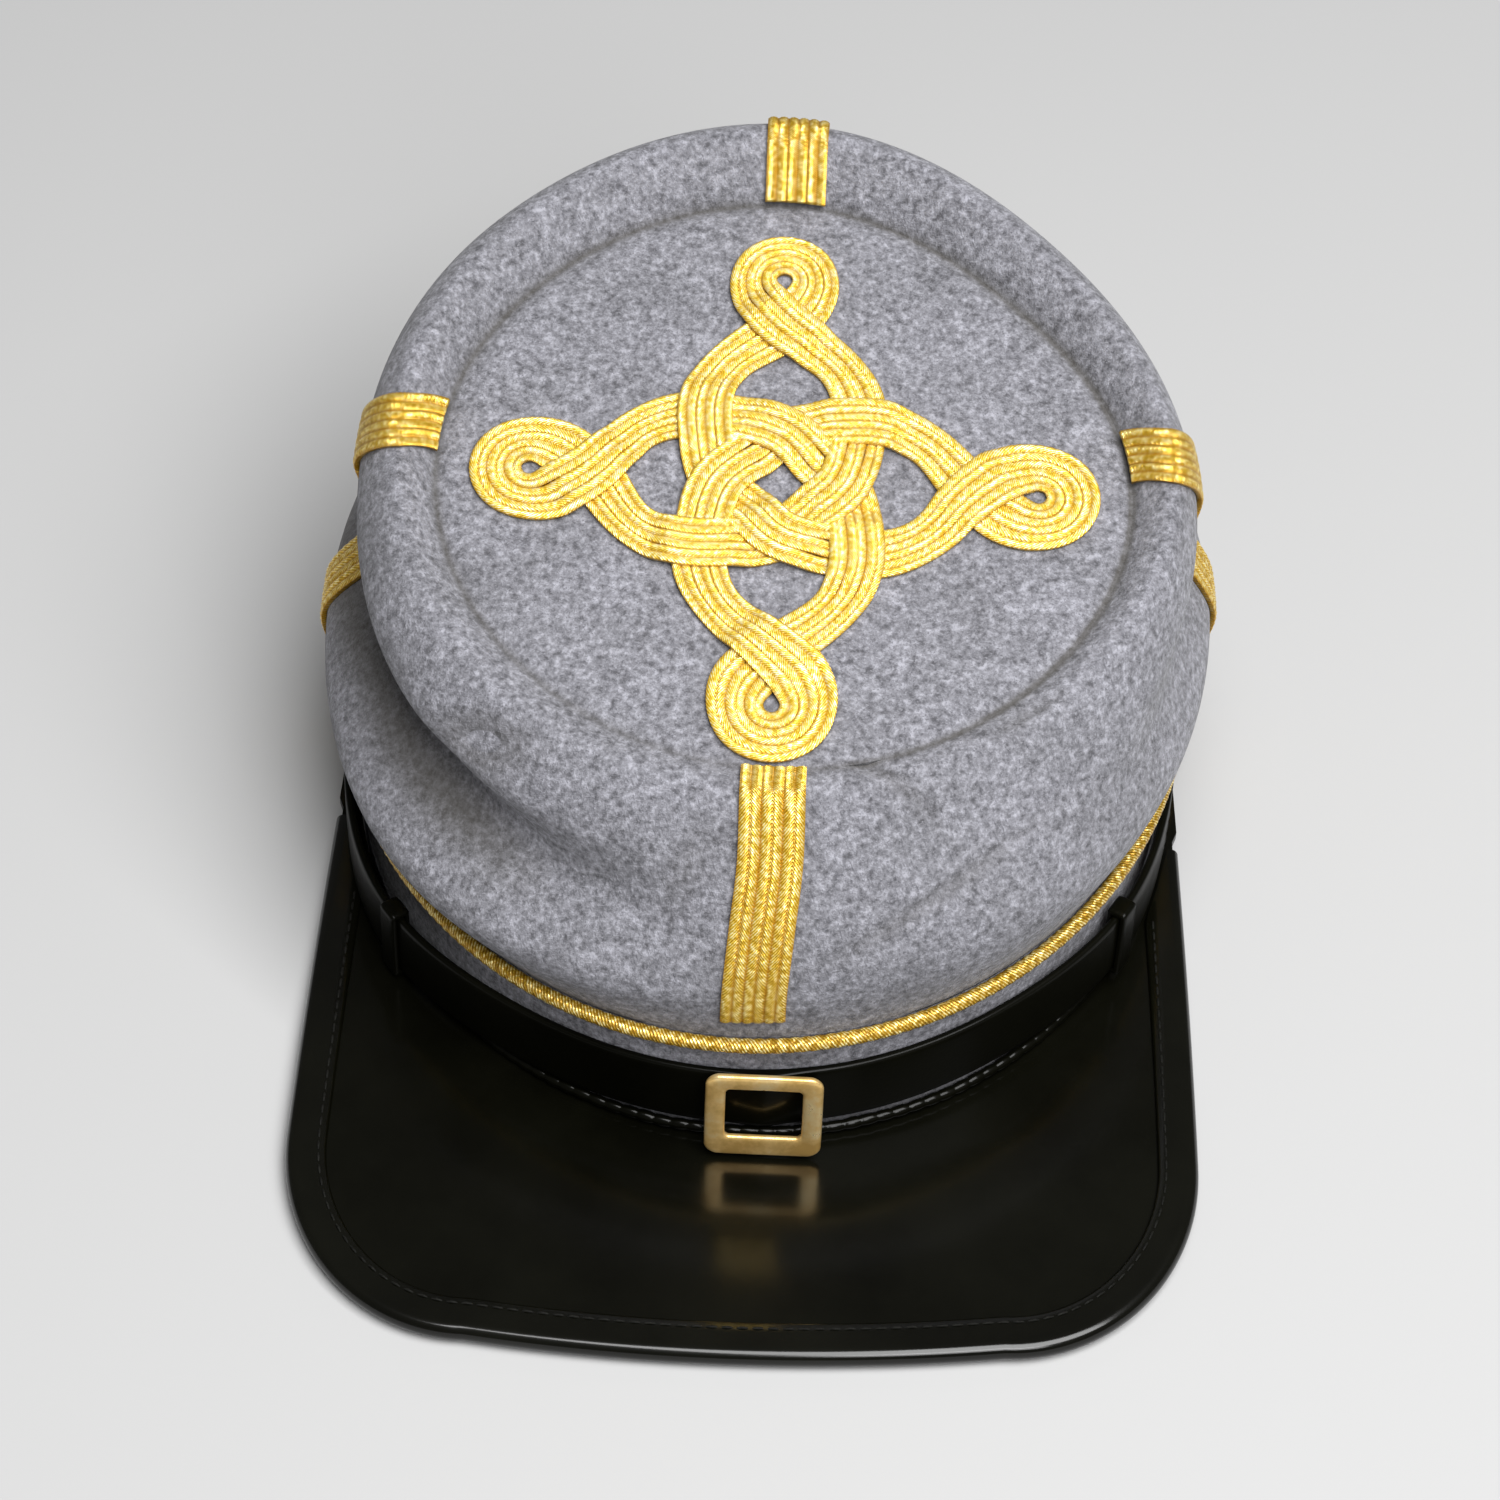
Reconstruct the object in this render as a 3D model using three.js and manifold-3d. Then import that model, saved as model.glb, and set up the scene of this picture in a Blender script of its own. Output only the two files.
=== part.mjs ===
// Field officer's kepi: a wool cap with a soft, slightly crushed crown, a large
// leather peak, a front strap with a brass buckle and gold braid.
// Millimetres, +Z up, peak toward -Y. Left and right are as seen from the front: left is -X.
// The rim of the band rests on z = 0 until the group is centred at the end.

import * as THREE from 'three';
import Module from 'manifold-3d';

const wasm = await Module();
wasm.setup();

// Spacing kept between neighbouring pieces
const GAP = 0.3;

// Band: an upright oval of cloth, its top edge a little higher on the +X side
const BAND_HALF_WIDTH = 84.5;
const BAND_HALF_LENGTH = 101.5;
const BAND_HEIGHT = 32.9;
const BAND_SLANT = 2.0;
const CLOTH = 2.0;

// Crown disc: a flat oval, tipped toward the peak
const DISC_X = 1.8;
const DISC_Y = -12.3;
const DISC_Z = 96.5;
const DISC_HALF_WIDTH = 68.2;
const DISC_HALF_LENGTH = 65.8;
const DISC_TILT = 12.5;

// Crown wall, one row per angle round the cap (0 = +X side, 90 = back).
// bulge: soft swelling over the band, out from the seam and up from it.
// fold: crease under the roll, depth from the straight line between bulge and
// roll, and its place on that line. roll and crest: the rounded edge round the
// disc, out from the disc seam and below or above it. seamIn: how far the
// disc seam is pushed in from its oval.
const WALL_COLUMNS = ['bulgeOut', 'bulgeUp', 'foldDepth', 'foldAt', 'rollOut', 'rollDrop',
  'crestOut', 'crestRise', 'seamIn'];
const WALL_ROWS = {
  '-90': [0.3, 13, -1.4, 0.50, 15.5, 8, 5.5, 0.6, 0.0],
  '-45': [5.8, 18, -0.8, 0.58, 15.2, 8.8, 6.2, 1.8, 0.0],
  '0': [5.2, 20, 5.0, 0.60, 13.4, 8, 7.8, 4.8, 0.0],
  '45': [3.0, 18, 1.0, 0.60, 18.2, 5, 10.2, 6.2, 4.8],
  '90': [2.0, 16, 2.0, 0.60, 20.8, 4, 11.5, 9.0, 0.0],
  '135': [3.0, 16, 1.0, 0.60, 20.0, 6, 11.0, 6.6, 1.0],
  '180': [4.2, 21, 10.5, 0.58, 15.4, 7, 8.0, 5.0, 1.0],
  '225': [8.2, 16, 10.0, 0.60, 19.0, 8, 8.0, 2.8, 1.0],
};
const WALL_ROW_STEP = 45;
const WALL_AROUND = 64;
const WALL_STEPS_PER_SPAN = 3;

// Twisted cord over the seam between band and crown
const CORD_RADIUS = 1.5;

// Peak: a large plate, nearly flat, with rounded front corners
const PEAK_THICKNESS = 2.0;
const PEAK_SEAM_Z = 4.6;
const PEAK_FRONT_Z = 3.6;
const PEAK_ROOT_HALF_WIDTH = 87.0;
const PEAK_ROOT_Y = 3.5;
const PEAK_HALF_WIDTH = 89.0;
const PEAK_DEPTH = 53.6;
const PEAK_SKEW = 0.011;
const PEAK_FRONT_BOW = 3.4;
const PEAK_CORNER_X = 38.0;
const PEAK_CORNER_Y = 45.0;
const BINDING_WIDTH = 8.0;
const BINDING_LEATHER = 0.8;
const WELT_RADIUS = 1.2;

// Front strap with its buckle, two keepers and two side buttons. The strap lies
// on the band in front and bows away from it at each side.
const STRAP_WIDTH = 15.6;
const STRAP_LEATHER = 1.6;
const STRAP_Z = 16.4;
const STRAP_SLANT = 1.2;
const STRAP_END_ANGLE = 6.0;
const STRAP_BOWS = [
  { angle: -146, out: 4.5, spread: 20 },
  { angle: -32, out: 2.6, spread: 17 },
];
const KEEPER_LEATHER = 1.0;
const KEEPER_WIDTH = 5.0;
const KEEPER_ANGLES = { keeper_left: -142, keeper_right: -34 };
const BUCKLE_X = 3.7;
const BUCKLE_WIDTH = 22.8;
const BUCKLE_HEIGHT = 21.2;
const BUCKLE_HOLE_WIDTH = 14.9;
const BUCKLE_HOLE_HEIGHT = 12.8;
const BUCKLE_HOLE_RISE = 0.7;
const BUCKLE_THICKNESS = 1.6;
const BUCKLE_CORNER = 3.0;
const BUCKLE_TOP_Y = -104.7;
const BUCKLE_BOTTOM_Z = 5.4;
const BUCKLE_LEAN = 6.8;
const STRAP_BULGE = 0.9;
const BUTTON_RADIUS = 6.5;
const BUTTON_HEIGHT = 4.2;

// Braid: flat strands, three side by side
const STRAND_WIDTH = 3.8;
const STRAND_PITCH = 4.1;
const BRAID_THICKNESS = 1.2;
const BRAID_CLEARANCE = 0.5;
const BRAID_START = 0.09;
const BRAID_END = 0.985;

// Where each braid climbs the wall: its angles at even steps from the cord to the disc
// seam. The side ones lean as the crown is pushed over.
const BRAIDS = {
  front: [-89.4, -89.4, -89.4, -89.3, -89.3, -89.2],
  back: [90.0, 89.9, 89.8, 89.7, 89.7, 89.6],
  left: [182.0, 183.0, 180.5, 174.0, 176.2, 173.2],
  right: [1.5, 0.5, 3.0, 6.5, 3.4, 6.2],
};

// Knot on the disc: four arms about its centre, each ending in a round loop.
// neck: where the two sides cross; ring: centre of the loop; radius: its outside,
// which swells by a share toward the neck.
const KNOT_CENTRE_Y = -3.0;
const KNOT_NECK_WIDTH = 11.4;
const KNOT_EYE_RADIUS = 1.7;
const KNOT_LOOP_SWELL = 0.14;
const KNOT_THICKNESS = 1.4;
const KNOT_ARMS = [
  { turn: 1.2, neck: 37.6, ring: 49.0, radius: 10.9 },
  { turn: 88.2, neck: 36.8, ring: 48.9, radius: 11.9 },
  { turn: 180, neck: 38.2, ring: 49.8, radius: 12.4 },
  { turn: -90.4, neck: 37.6, ring: 49.9, radius: 12.2 },
];
// Centre line of one side of an arm, from beside the knot's centre to the neck:
// across and along the arm, and how wide the three strands lie together
const ARM_SIDE = [
  { across: 6.1, along: -6.1, width: 10.8 },
  { across: 12.1, along: 0.0, width: 10.8 },
  { across: 14.7, along: 10.0, width: 10.8 },
  { across: 14.8, along: 20.2, width: 10.6 },
  { across: 10.9, along: 28.2, width: 9.4 },
];
// Angles of the points that lead round a loop, from the arm's outward direction
const RING_ANGLES = [135, 90, 45, 0, -45, -90, -135];
const KNOT_STEPS_PER_SPAN = 3;

const UP = new THREE.Vector3(0, 0, 1);

function point(x, y, z) {
  return new THREE.Vector3(x, y, z);
}

function range(count, from, to) {
  return Array.from({ length: count }, (_, i) => from + (to - from) * i / (count - 1));
}

// Periodic smooth blend of the wall table at an angle in degrees
function wallRow(angle) {
  const keys = Object.keys(WALL_ROWS).map(Number).sort((a, b) => a - b);
  const count = keys.length;
  const place = (((angle - keys[0]) / WALL_ROW_STEP) % count + count) % count;
  const index = Math.floor(place);
  const t = place - index;
  const row = (offset) => WALL_ROWS[keys[(index + offset + count) % count]];
  const [before, start, end, after] = [row(-1), row(0), row(1), row(2)];
  const blended = {};
  WALL_COLUMNS.forEach((name, k) => {
    const linear = end[k] - before[k];
    const square = 2 * before[k] - 5 * start[k] + 4 * end[k] - after[k];
    const cube = 3 * start[k] - before[k] - 3 * end[k] + after[k];
    blended[name] = start[k] + 0.5 * t * (linear + t * (square + t * cube));
  });
  return blended;
}

// Disc plane: centre, the two directions in it and its normal
const tilt = THREE.MathUtils.degToRad(DISC_TILT);
const discCentre = point(DISC_X, DISC_Y, DISC_Z);
const discAcross = point(1, 0, 0);
const discAlong = point(0, Math.cos(tilt), Math.sin(tilt));
const discNormal = new THREE.Vector3().crossVectors(discAcross, discAlong);
const discMatrix = new THREE.Matrix4().makeBasis(discAcross, discAlong, discNormal)
  .setPosition(discCentre);

// Half axes of the disc seam where the edge is pushed in by an amount
function seamAxes(pushedIn) {
  return [DISC_HALF_WIDTH - pushedIn, DISC_HALF_LENGTH - pushedIn];
}

// Smooth line up the wall at an angle: band seam, bulge, fold, roll, crest, disc seam
function wallProfile(angle) {
  const shape = wallRow(angle);
  const turn = THREE.MathUtils.degToRad(angle);
  const [c, s] = [Math.cos(turn), Math.sin(turn)];
  const seam = point(BAND_HALF_WIDTH * c, BAND_HALF_LENGTH * s, bandTop(angle) + GAP);
  const outward = point(c / BAND_HALF_WIDTH, s / BAND_HALF_LENGTH, 0).normalize();
  const [halfWidth, halfLength] = seamAxes(shape.seamIn);
  const discSeam = discCentre.clone()
    .addScaledVector(discAcross, halfWidth * c)
    .addScaledVector(discAlong, halfLength * s);
  const discOutward = discAcross.clone().multiplyScalar(c / halfWidth)
    .addScaledVector(discAlong, s / halfLength).normalize();
  const bulge = seam.clone().addScaledVector(outward, shape.bulgeOut)
    .addScaledVector(UP, shape.bulgeUp);
  const roll = discSeam.clone().addScaledVector(discOutward, shape.rollOut)
    .addScaledVector(discNormal, -shape.rollDrop);
  const fold = bulge.clone().lerp(roll, shape.foldAt).addScaledVector(outward, -shape.foldDepth);
  const crest = discSeam.clone().addScaledVector(discOutward, shape.crestOut)
    .addScaledVector(discNormal, shape.crestRise);
  return new THREE.CatmullRomCurve3([seam, bulge, fold, roll, crest, discSeam], false, 'centripetal');
}

// Height of the top edge of the band
function bandTop(angle) {
  return BAND_HEIGHT + BAND_SLANT * Math.cos(THREE.MathUtils.degToRad(angle));
}

function wallPoint(angle, up) {
  return wallProfile(angle).getPoint(up);
}

// Outward normal of the wall by differences
function wallNormal(angle, up) {
  const turnStep = 0.5;
  const upStep = 0.004;
  const around = wallPoint(angle + turnStep, up).sub(wallPoint(angle - turnStep, up));
  const lower = Math.max(0, up - upStep);
  const upper = Math.min(1, up + upStep);
  const rising = wallPoint(angle, upper).sub(wallPoint(angle, lower));
  return new THREE.Vector3().crossVectors(around, rising).normalize();
}

function signedVolume(positions, index) {
  const [a, b, c] = [new THREE.Vector3(), new THREE.Vector3(), new THREE.Vector3()];
  let volume = 0;
  for (let i = 0; i < index.length; i += 3) {
    a.fromArray(positions, 3 * index[i]);
    b.fromArray(positions, 3 * index[i + 1]);
    c.fromArray(positions, 3 * index[i + 2]);
    volume += a.dot(b.cross(c)) / 6;
  }
  return volume;
}

// Closed solid from section loops placed one after another along a path
function sweepSolid(loops, closedPath) {
  const size = loops[0].length;
  const positions = loops.flat().flatMap((p) => [p.x, p.y, p.z]);
  const index = [];
  const spans = closedPath ? loops.length : loops.length - 1;
  for (let i = 0; i < spans; i += 1) {
    const next = (i + 1) % loops.length;
    for (let j = 0; j < size; j += 1) {
      const side = (j + 1) % size;
      const [a, b] = [i * size + j, i * size + side];
      const [c, d] = [next * size + side, next * size + j];
      index.push(a, b, c, a, c, d);
    }
  }
  if (!closedPath) {
    capLoop(loops[0]).forEach(([a, b, c]) => index.push(a, c, b));
    const last = (loops.length - 1) * size;
    capLoop(loops[loops.length - 1]).forEach(([a, b, c]) => index.push(last + a, last + b, last + c));
  }
  if (signedVolume(positions, index) < 0) {
    index.reverse();
  }
  const geometry = new THREE.BufferGeometry();
  geometry.setAttribute('position', new THREE.Float32BufferAttribute(positions, 3));
  geometry.setIndex(index);
  return geometry;
}

// Triangles over a flat section loop, turned the same way as the loop
function capLoop(loop) {
  const normal = new THREE.Vector3();
  loop.forEach((p, i) => {
    const q = loop[(i + 1) % loop.length];
    normal.add(new THREE.Vector3().crossVectors(p, q));
  });
  normal.normalize();
  const across = loop[1].clone().sub(loop[0]).projectOnPlane(normal).normalize();
  const along = new THREE.Vector3().crossVectors(normal, across);
  const flat = loop.map((p) => new THREE.Vector2(p.dot(across), p.dot(along)));
  return THREE.ShapeUtils.triangulateShape(flat, []);
}

// Point beside the band: angle, distance out from its face, height
function besideBand(angle, out, z) {
  const turn = THREE.MathUtils.degToRad(angle);
  const [c, s] = [Math.cos(turn), Math.sin(turn)];
  return point(BAND_HALF_WIDTH * c, BAND_HALF_LENGTH * s, z)
    .addScaledVector(bandOutward(angle), out);
}

function bandOutward(angle) {
  const turn = THREE.MathUtils.degToRad(angle);
  return point(Math.cos(turn) / BAND_HALF_WIDTH, Math.sin(turn) / BAND_HALF_LENGTH, 0).normalize();
}

function fullTurn(count) {
  return Array.from({ length: count }, (_, i) => 360 * i / count);
}

function bandSolid() {
  const loops = fullTurn(WALL_AROUND).map((angle) => [
    besideBand(angle, 0, 0),
    besideBand(angle, 0, bandTop(angle)),
    besideBand(angle, -CLOTH, bandTop(angle)),
    besideBand(angle, -CLOTH, 0),
  ]);
  return sweepSolid(loops, true);
}

const WALL_LEVELS = range(5 * WALL_STEPS_PER_SPAN + 1, 0, 1);

function crownWallSolid() {
  const loops = fullTurn(WALL_AROUND).map((angle) => {
    const outside = WALL_LEVELS.map((up) => wallPoint(angle, up));
    const inside = WALL_LEVELS.map((up) => {
      const inward = up === 0 ? bandOutward(angle) : wallNormal(angle, up);
      return wallPoint(angle, up).addScaledVector(inward, -CLOTH);
    });
    return [...outside, ...inside.reverse()];
  });
  return sweepSolid(loops, true);
}

function crownDiscSolid() {
  const edge = fullTurn(WALL_AROUND).map((angle) => {
    const [halfWidth, halfLength] = seamAxes(wallRow(angle).seamIn + GAP + 0.1);
    const turn = THREE.MathUtils.degToRad(angle);
    return new THREE.Vector2(halfWidth * Math.cos(turn), halfLength * Math.sin(turn));
  });
  const geometry = new THREE.ExtrudeGeometry(new THREE.Shape(edge), {
    depth: CLOTH,
    bevelEnabled: false,
    steps: 1,
  });
  geometry.translate(0, 0, -CLOTH);
  return geometry.applyMatrix4(discMatrix);
}

// Round section swept beside the band through a list of angles
function roundBesideBand(angles, out, height, radius, sides, closedPath) {
  const loops = angles.map((angle) => {
    const centre = besideBand(angle, out, height(angle));
    const outward = bandOutward(angle);
    return Array.from({ length: sides }, (_, i) => {
      const turn = 2 * Math.PI * (i + 0.5) / sides;
      return centre.clone().addScaledVector(outward, radius * Math.cos(turn))
        .addScaledVector(UP, radius * Math.sin(turn));
    });
  });
  return sweepSolid(loops, closedPath);
}

// Outline of the peak from its right root round the front to its left root
function peakOutline() {
  const frontY = -(BAND_HALF_LENGTH + PEAK_DEPTH);
  const cornerTop = frontY + PEAK_FRONT_BOW + PEAK_CORNER_Y;
  const halfFlat = PEAK_HALF_WIDTH - PEAK_CORNER_X;
  const side = range(10, 0, 1).map((t) => new THREE.Vector2(
    PEAK_ROOT_HALF_WIDTH + (PEAK_HALF_WIDTH - PEAK_ROOT_HALF_WIDTH) * Math.sin(t * Math.PI / 2),
    PEAK_ROOT_Y + (cornerTop - PEAK_ROOT_Y) * t,
  ));
  const corner = range(11, 0, Math.PI / 2).slice(1).map((turn) => new THREE.Vector2(
    halfFlat + PEAK_CORNER_X * Math.cos(turn),
    cornerTop - PEAK_CORNER_Y * Math.sin(turn),
  ));
  const front = range(6, halfFlat, 0).slice(1).map((x) => new THREE.Vector2(
    x,
    frontY + PEAK_FRONT_BOW * (x / halfFlat) ** 2,
  ));
  const half = [...side, ...corner, ...front];
  const other = half.slice(0, -1).reverse().map((p) => new THREE.Vector2(-p.x, p.y));
  return [...half, ...other].map((p) => {
    const forward = Math.max(0, p.y / frontY);
    return new THREE.Vector2(p.x, p.y + PEAK_SKEW * p.x * forward);
  });
}

// Outline moved inward by a distance, point by point
function insetOutline(outline, distance) {
  return outline.map((p, i) => {
    const before = outline[Math.max(0, i - 1)];
    const after = outline[Math.min(outline.length - 1, i + 1)];
    const along = after.clone().sub(before).normalize();
    return new THREE.Vector2(p.x + along.y * distance, p.y - along.x * distance);
  });
}

// Height of the top of the peak plate: level beside the band, falling to the front edge
function peakTop(y) {
  const frontY = -(BAND_HALF_LENGTH + PEAK_DEPTH);
  const share = THREE.MathUtils.clamp((y - frontY) / PEAK_DEPTH, 0, 1);
  return PEAK_FRONT_Z + (PEAK_SEAM_Z - PEAK_FRONT_Z) * share;
}

const outline = peakOutline();

// Room the welt takes beside the band, and the width left for the binding along the outline
const besideWelt = 2 * WELT_RADIUS + 2 * GAP + 0.3;
const bindingWidths = outline.map((p) => Math.min(BINDING_WIDTH, roomBesideBand(p) - besideWelt));
const BINDING_LEAST = 1.5;

function peakSolid() {
  const underBinding = insetOutline(outline, BINDING_LEATHER + GAP);
  const outer = outline.map((p, i) => (bindingWidths[i] < BINDING_LEAST ? p : underBinding[i]));
  const rootAngle = THREE.MathUtils.radToDeg(Math.asin(PEAK_ROOT_Y / BAND_HALF_LENGTH));
  const seamAngles = range(outer.length, rootAngle, -180 - rootAngle);
  const loops = outer.map((edge, i) => {
    const inner = besideBand(seamAngles[i], GAP + 0.1, 0);
    const across = [0, 0.5, 1].map((t) => [
      inner.x + (edge.x - inner.x) * t,
      inner.y + (edge.y - inner.y) * t,
    ]);
    const top = across.map(([x, y]) => point(x, y, peakTop(y)));
    const bottom = across.map(([x, y]) => point(x, y, peakTop(y) - PEAK_THICKNESS)).reverse();
    return [...top, ...bottom];
  });
  return sweepSolid(loops, false);
}

// Distance from a point on the outline to the side of the band
function roomBesideBand(place) {
  const angles = range(181, 0, -180);
  return Math.min(...angles.map((angle) => {
    const side = besideBand(angle, 0, 0);
    return Math.hypot(side.x - place.x, side.y - place.y);
  }));
}

// Folded strip over the edge of the peak: top leg, rounded edge, bottom leg.
// It narrows toward the roots, where the welt leaves it less room.
function bindingSolid() {
  const over = GAP + BINDING_LEATHER;
  const under = PEAK_THICKNESS + GAP + BINDING_LEATHER;
  const section = [
    { inset: BINDING_WIDTH, drop: -over },
    { inset: 1.2, drop: -over },
    { inset: 0.3, drop: -over + 0.9 },
    { inset: 0, drop: PEAK_THICKNESS / 2 },
    { inset: 0.3, drop: under - 0.9 },
    { inset: 1.2, drop: under },
    { inset: BINDING_WIDTH, drop: under },
    { inset: BINDING_WIDTH, drop: PEAK_THICKNESS + GAP },
    { inset: BINDING_LEATHER, drop: PEAK_THICKNESS + GAP },
    { inset: BINDING_LEATHER, drop: -GAP },
    { inset: BINDING_WIDTH, drop: -GAP },
  ];
  const loops = [];
  outline.forEach((edge, i) => {
    if (bindingWidths[i] < BINDING_LEAST || bindingWidths[i - 1] < BINDING_LEAST
      || bindingWidths[i + 1] < BINDING_LEAST) {
      return;
    }
    loops.push(section.map((corner) => {
      const place = insetOutline(outline, Math.min(corner.inset, bindingWidths[i]))[i];
      return point(place.x, place.y, peakTop(place.y) - corner.drop);
    }));
  });
  return sweepSolid(loops, false);
}

// Distance from the band to the inner face of the strap
function strapInside(angle) {
  return STRAP_BOWS.reduce((out, bow) => {
    const away = (angle - bow.angle) / bow.spread;
    return out + bow.out * Math.exp(-away * away);
  }, GAP);
}

// Height of the middle of the strap
function strapMiddle(angle) {
  return STRAP_Z + STRAP_SLANT * Math.cos(THREE.MathUtils.degToRad(angle));
}

// Swelling of the strap inside the buckle
function strapBulge(angle) {
  const distance = (besideBand(angle, 0, 0).x - BUCKLE_X) / 5;
  const front = Math.sin(THREE.MathUtils.degToRad(angle)) < 0;
  return front ? STRAP_BULGE * Math.exp(-distance * distance) : 0;
}

function strapSolid() {
  const angles = range(91, STRAP_END_ANGLE, -180 - STRAP_END_ANGLE);
  const half = STRAP_WIDTH / 2;
  const loops = angles.map((angle) => {
    const inside = strapInside(angle);
    const outside = inside + STRAP_LEATHER + strapBulge(angle);
    const middle = strapMiddle(angle);
    return [
      besideBand(angle, inside, middle - half),
      besideBand(angle, outside, middle - half),
      besideBand(angle, outside, middle + half),
      besideBand(angle, inside, middle + half),
    ];
  });
  return sweepSolid(loops, false);
}

// Rounded rectangle about the middle of the drawing, raised by an amount
function roundedPath(path, width, height, corner, rise) {
  const [w, h, r] = [width / 2, height / 2, corner];
  const quarter = Math.PI / 2;
  path.moveTo(-w + r, rise - h);
  path.lineTo(w - r, rise - h);
  path.absarc(w - r, rise - h + r, r, -quarter, 0, false);
  path.lineTo(w, rise + h - r);
  path.absarc(w - r, rise + h - r, r, 0, quarter, false);
  path.lineTo(-w + r, rise + h);
  path.absarc(-w + r, rise + h - r, r, quarter, 2 * quarter, false);
  path.lineTo(-w, rise - h + r);
  path.absarc(-w + r, rise - h + r, r, 2 * quarter, 3 * quarter, false);
  return path;
}

// Small leather loop round the strap
function keeperSolid(angle) {
  const thickness = STRAP_LEATHER + 2 * GAP + 2 * KEEPER_LEATHER;
  const height = STRAP_WIDTH + 2 * GAP + 2 * KEEPER_LEATHER;
  const shape = roundedPath(new THREE.Shape(), thickness, height, 0.6, 0);
  shape.holes.push(roundedPath(new THREE.Path(), thickness - 2 * KEEPER_LEATHER,
    height - 2 * KEEPER_LEATHER, 0.1, 0));
  const geometry = new THREE.ExtrudeGeometry(shape, {
    depth: KEEPER_WIDTH,
    bevelEnabled: false,
    curveSegments: 2,
    steps: 1,
  });
  geometry.translate(0, 0, -KEEPER_WIDTH / 2);
  const [before, after] = [-1, 1].map((step) => {
    const near = angle + step;
    return besideBand(near, strapInside(near) + STRAP_LEATHER / 2, 0);
  });
  const along = before.sub(after).normalize();
  const outward = new THREE.Vector3().crossVectors(UP, along);
  const place = besideBand(angle, strapInside(angle) + STRAP_LEATHER / 2, strapMiddle(angle));
  const matrix = new THREE.Matrix4().makeBasis(outward, UP, along).setPosition(place);
  return geometry.applyMatrix4(matrix);
}

// Flat brass frame leaning on the peak
function buckleSolid() {
  const shape = roundedPath(new THREE.Shape(), BUCKLE_WIDTH, BUCKLE_HEIGHT, BUCKLE_CORNER, 0);
  shape.holes.push(roundedPath(new THREE.Path(), BUCKLE_HOLE_WIDTH, BUCKLE_HOLE_HEIGHT, 1.2,
    BUCKLE_HOLE_RISE));
  const geometry = new THREE.ExtrudeGeometry(shape, {
    depth: BUCKLE_THICKNESS,
    bevelEnabled: false,
    curveSegments: 4,
    steps: 1,
  });
  geometry.translate(0, -BUCKLE_HEIGHT / 2, 0);
  const lean = THREE.MathUtils.degToRad(90 - BUCKLE_LEAN);
  geometry.rotateX(lean);
  const rise = BUCKLE_HEIGHT * Math.cos(THREE.MathUtils.degToRad(BUCKLE_LEAN));
  geometry.translate(BUCKLE_X, BUCKLE_TOP_Y, BUCKLE_BOTTOM_Z + rise);
  return geometry;
}

// Plain domed button over a strap end, at one side of the cap
function buttonSolid(angle) {
  const profile = [
    new THREE.Vector2(0, 0),
    new THREE.Vector2(BUTTON_RADIUS, 0),
    new THREE.Vector2(BUTTON_RADIUS, 1.2),
    new THREE.Vector2(BUTTON_RADIUS * 0.72, BUTTON_HEIGHT * 0.78),
    new THREE.Vector2(0, BUTTON_HEIGHT),
    new THREE.Vector2(0, 0),
  ];
  const geometry = new THREE.LatheGeometry(profile, 16);
  const outward = bandOutward(angle);
  const turned = new THREE.Quaternion().setFromUnitVectors(point(0, 1, 0), outward);
  geometry.applyQuaternion(turned);
  const place = besideBand(angle, strapInside(angle) + STRAP_LEATHER + GAP + 0.15, strapMiddle(angle));
  geometry.translate(place.x, place.y, place.z);
  return geometry;
}

// Angle of a braid's middle line at a place up the wall
function braidAngle(braid, up) {
  const place = up * (braid.length - 1);
  const index = Math.min(Math.floor(place), braid.length - 2);
  return braid[index] + (braid[index + 1] - braid[index]) * THREE.MathUtils.smoothstep(place - index, 0, 1);
}

// One flat strand up the wall, beside the middle line of its braid
function strandSolid(braid, aside) {
  const levels = [BRAID_START, ...WALL_LEVELS.slice(1, -1), BRAID_END];
  const loops = levels.map((up) => {
    const angle = braidAngle(braid, up);
    const perDegree = wallPoint(angle + 0.5, up).distanceTo(wallPoint(angle - 0.5, up));
    const edges = [aside - STRAND_WIDTH / 2, aside + STRAND_WIDTH / 2];
    const [start, end] = edges.map((edge) => angle + edge / perDegree);
    const raised = (place, height) => wallPoint(place, up)
      .addScaledVector(wallNormal(place, up), height);
    const under = BRAID_CLEARANCE;
    const over = BRAID_CLEARANCE + BRAID_THICKNESS;
    return [raised(start, under), raised(end, under), raised(end, over), raised(start, over)];
  });
  return sweepSolid(loops, false);
}

// Control points of the knot's single closed line, arm after arm: out along one
// side, round the loop and back along the other
function knotControls() {
  const controls = [];
  KNOT_ARMS.forEach((arm) => {
    const outgoing = ARM_SIDE.map((p) => ({ ...p, across: -p.across }));
    const neck = { across: 0, along: arm.neck, width: KNOT_NECK_WIDTH };
    const ring = RING_ANGLES.map((degrees) => {
      const reach = arm.radius * (1 + KNOT_LOOP_SWELL * Math.max(0, Math.abs(degrees) - 90) / 45);
      const round = (reach + KNOT_EYE_RADIUS) / 2;
      return {
        across: round * Math.sin(THREE.MathUtils.degToRad(degrees)),
        along: arm.ring + round * Math.cos(THREE.MathUtils.degToRad(degrees)),
        width: reach - KNOT_EYE_RADIUS,
      };
    });
    const turn = THREE.MathUtils.degToRad(arm.turn);
    const backward = [...ARM_SIDE].reverse().slice(0, -1);
    [...outgoing, neck, ...ring, neck, ...backward].forEach((p) => {
      const x = p.across * Math.cos(turn) - p.along * Math.sin(turn);
      const y = p.across * Math.sin(turn) + p.along * Math.cos(turn);
      controls.push(point(x, y, p.width));
    });
  });
  return controls;
}

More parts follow.
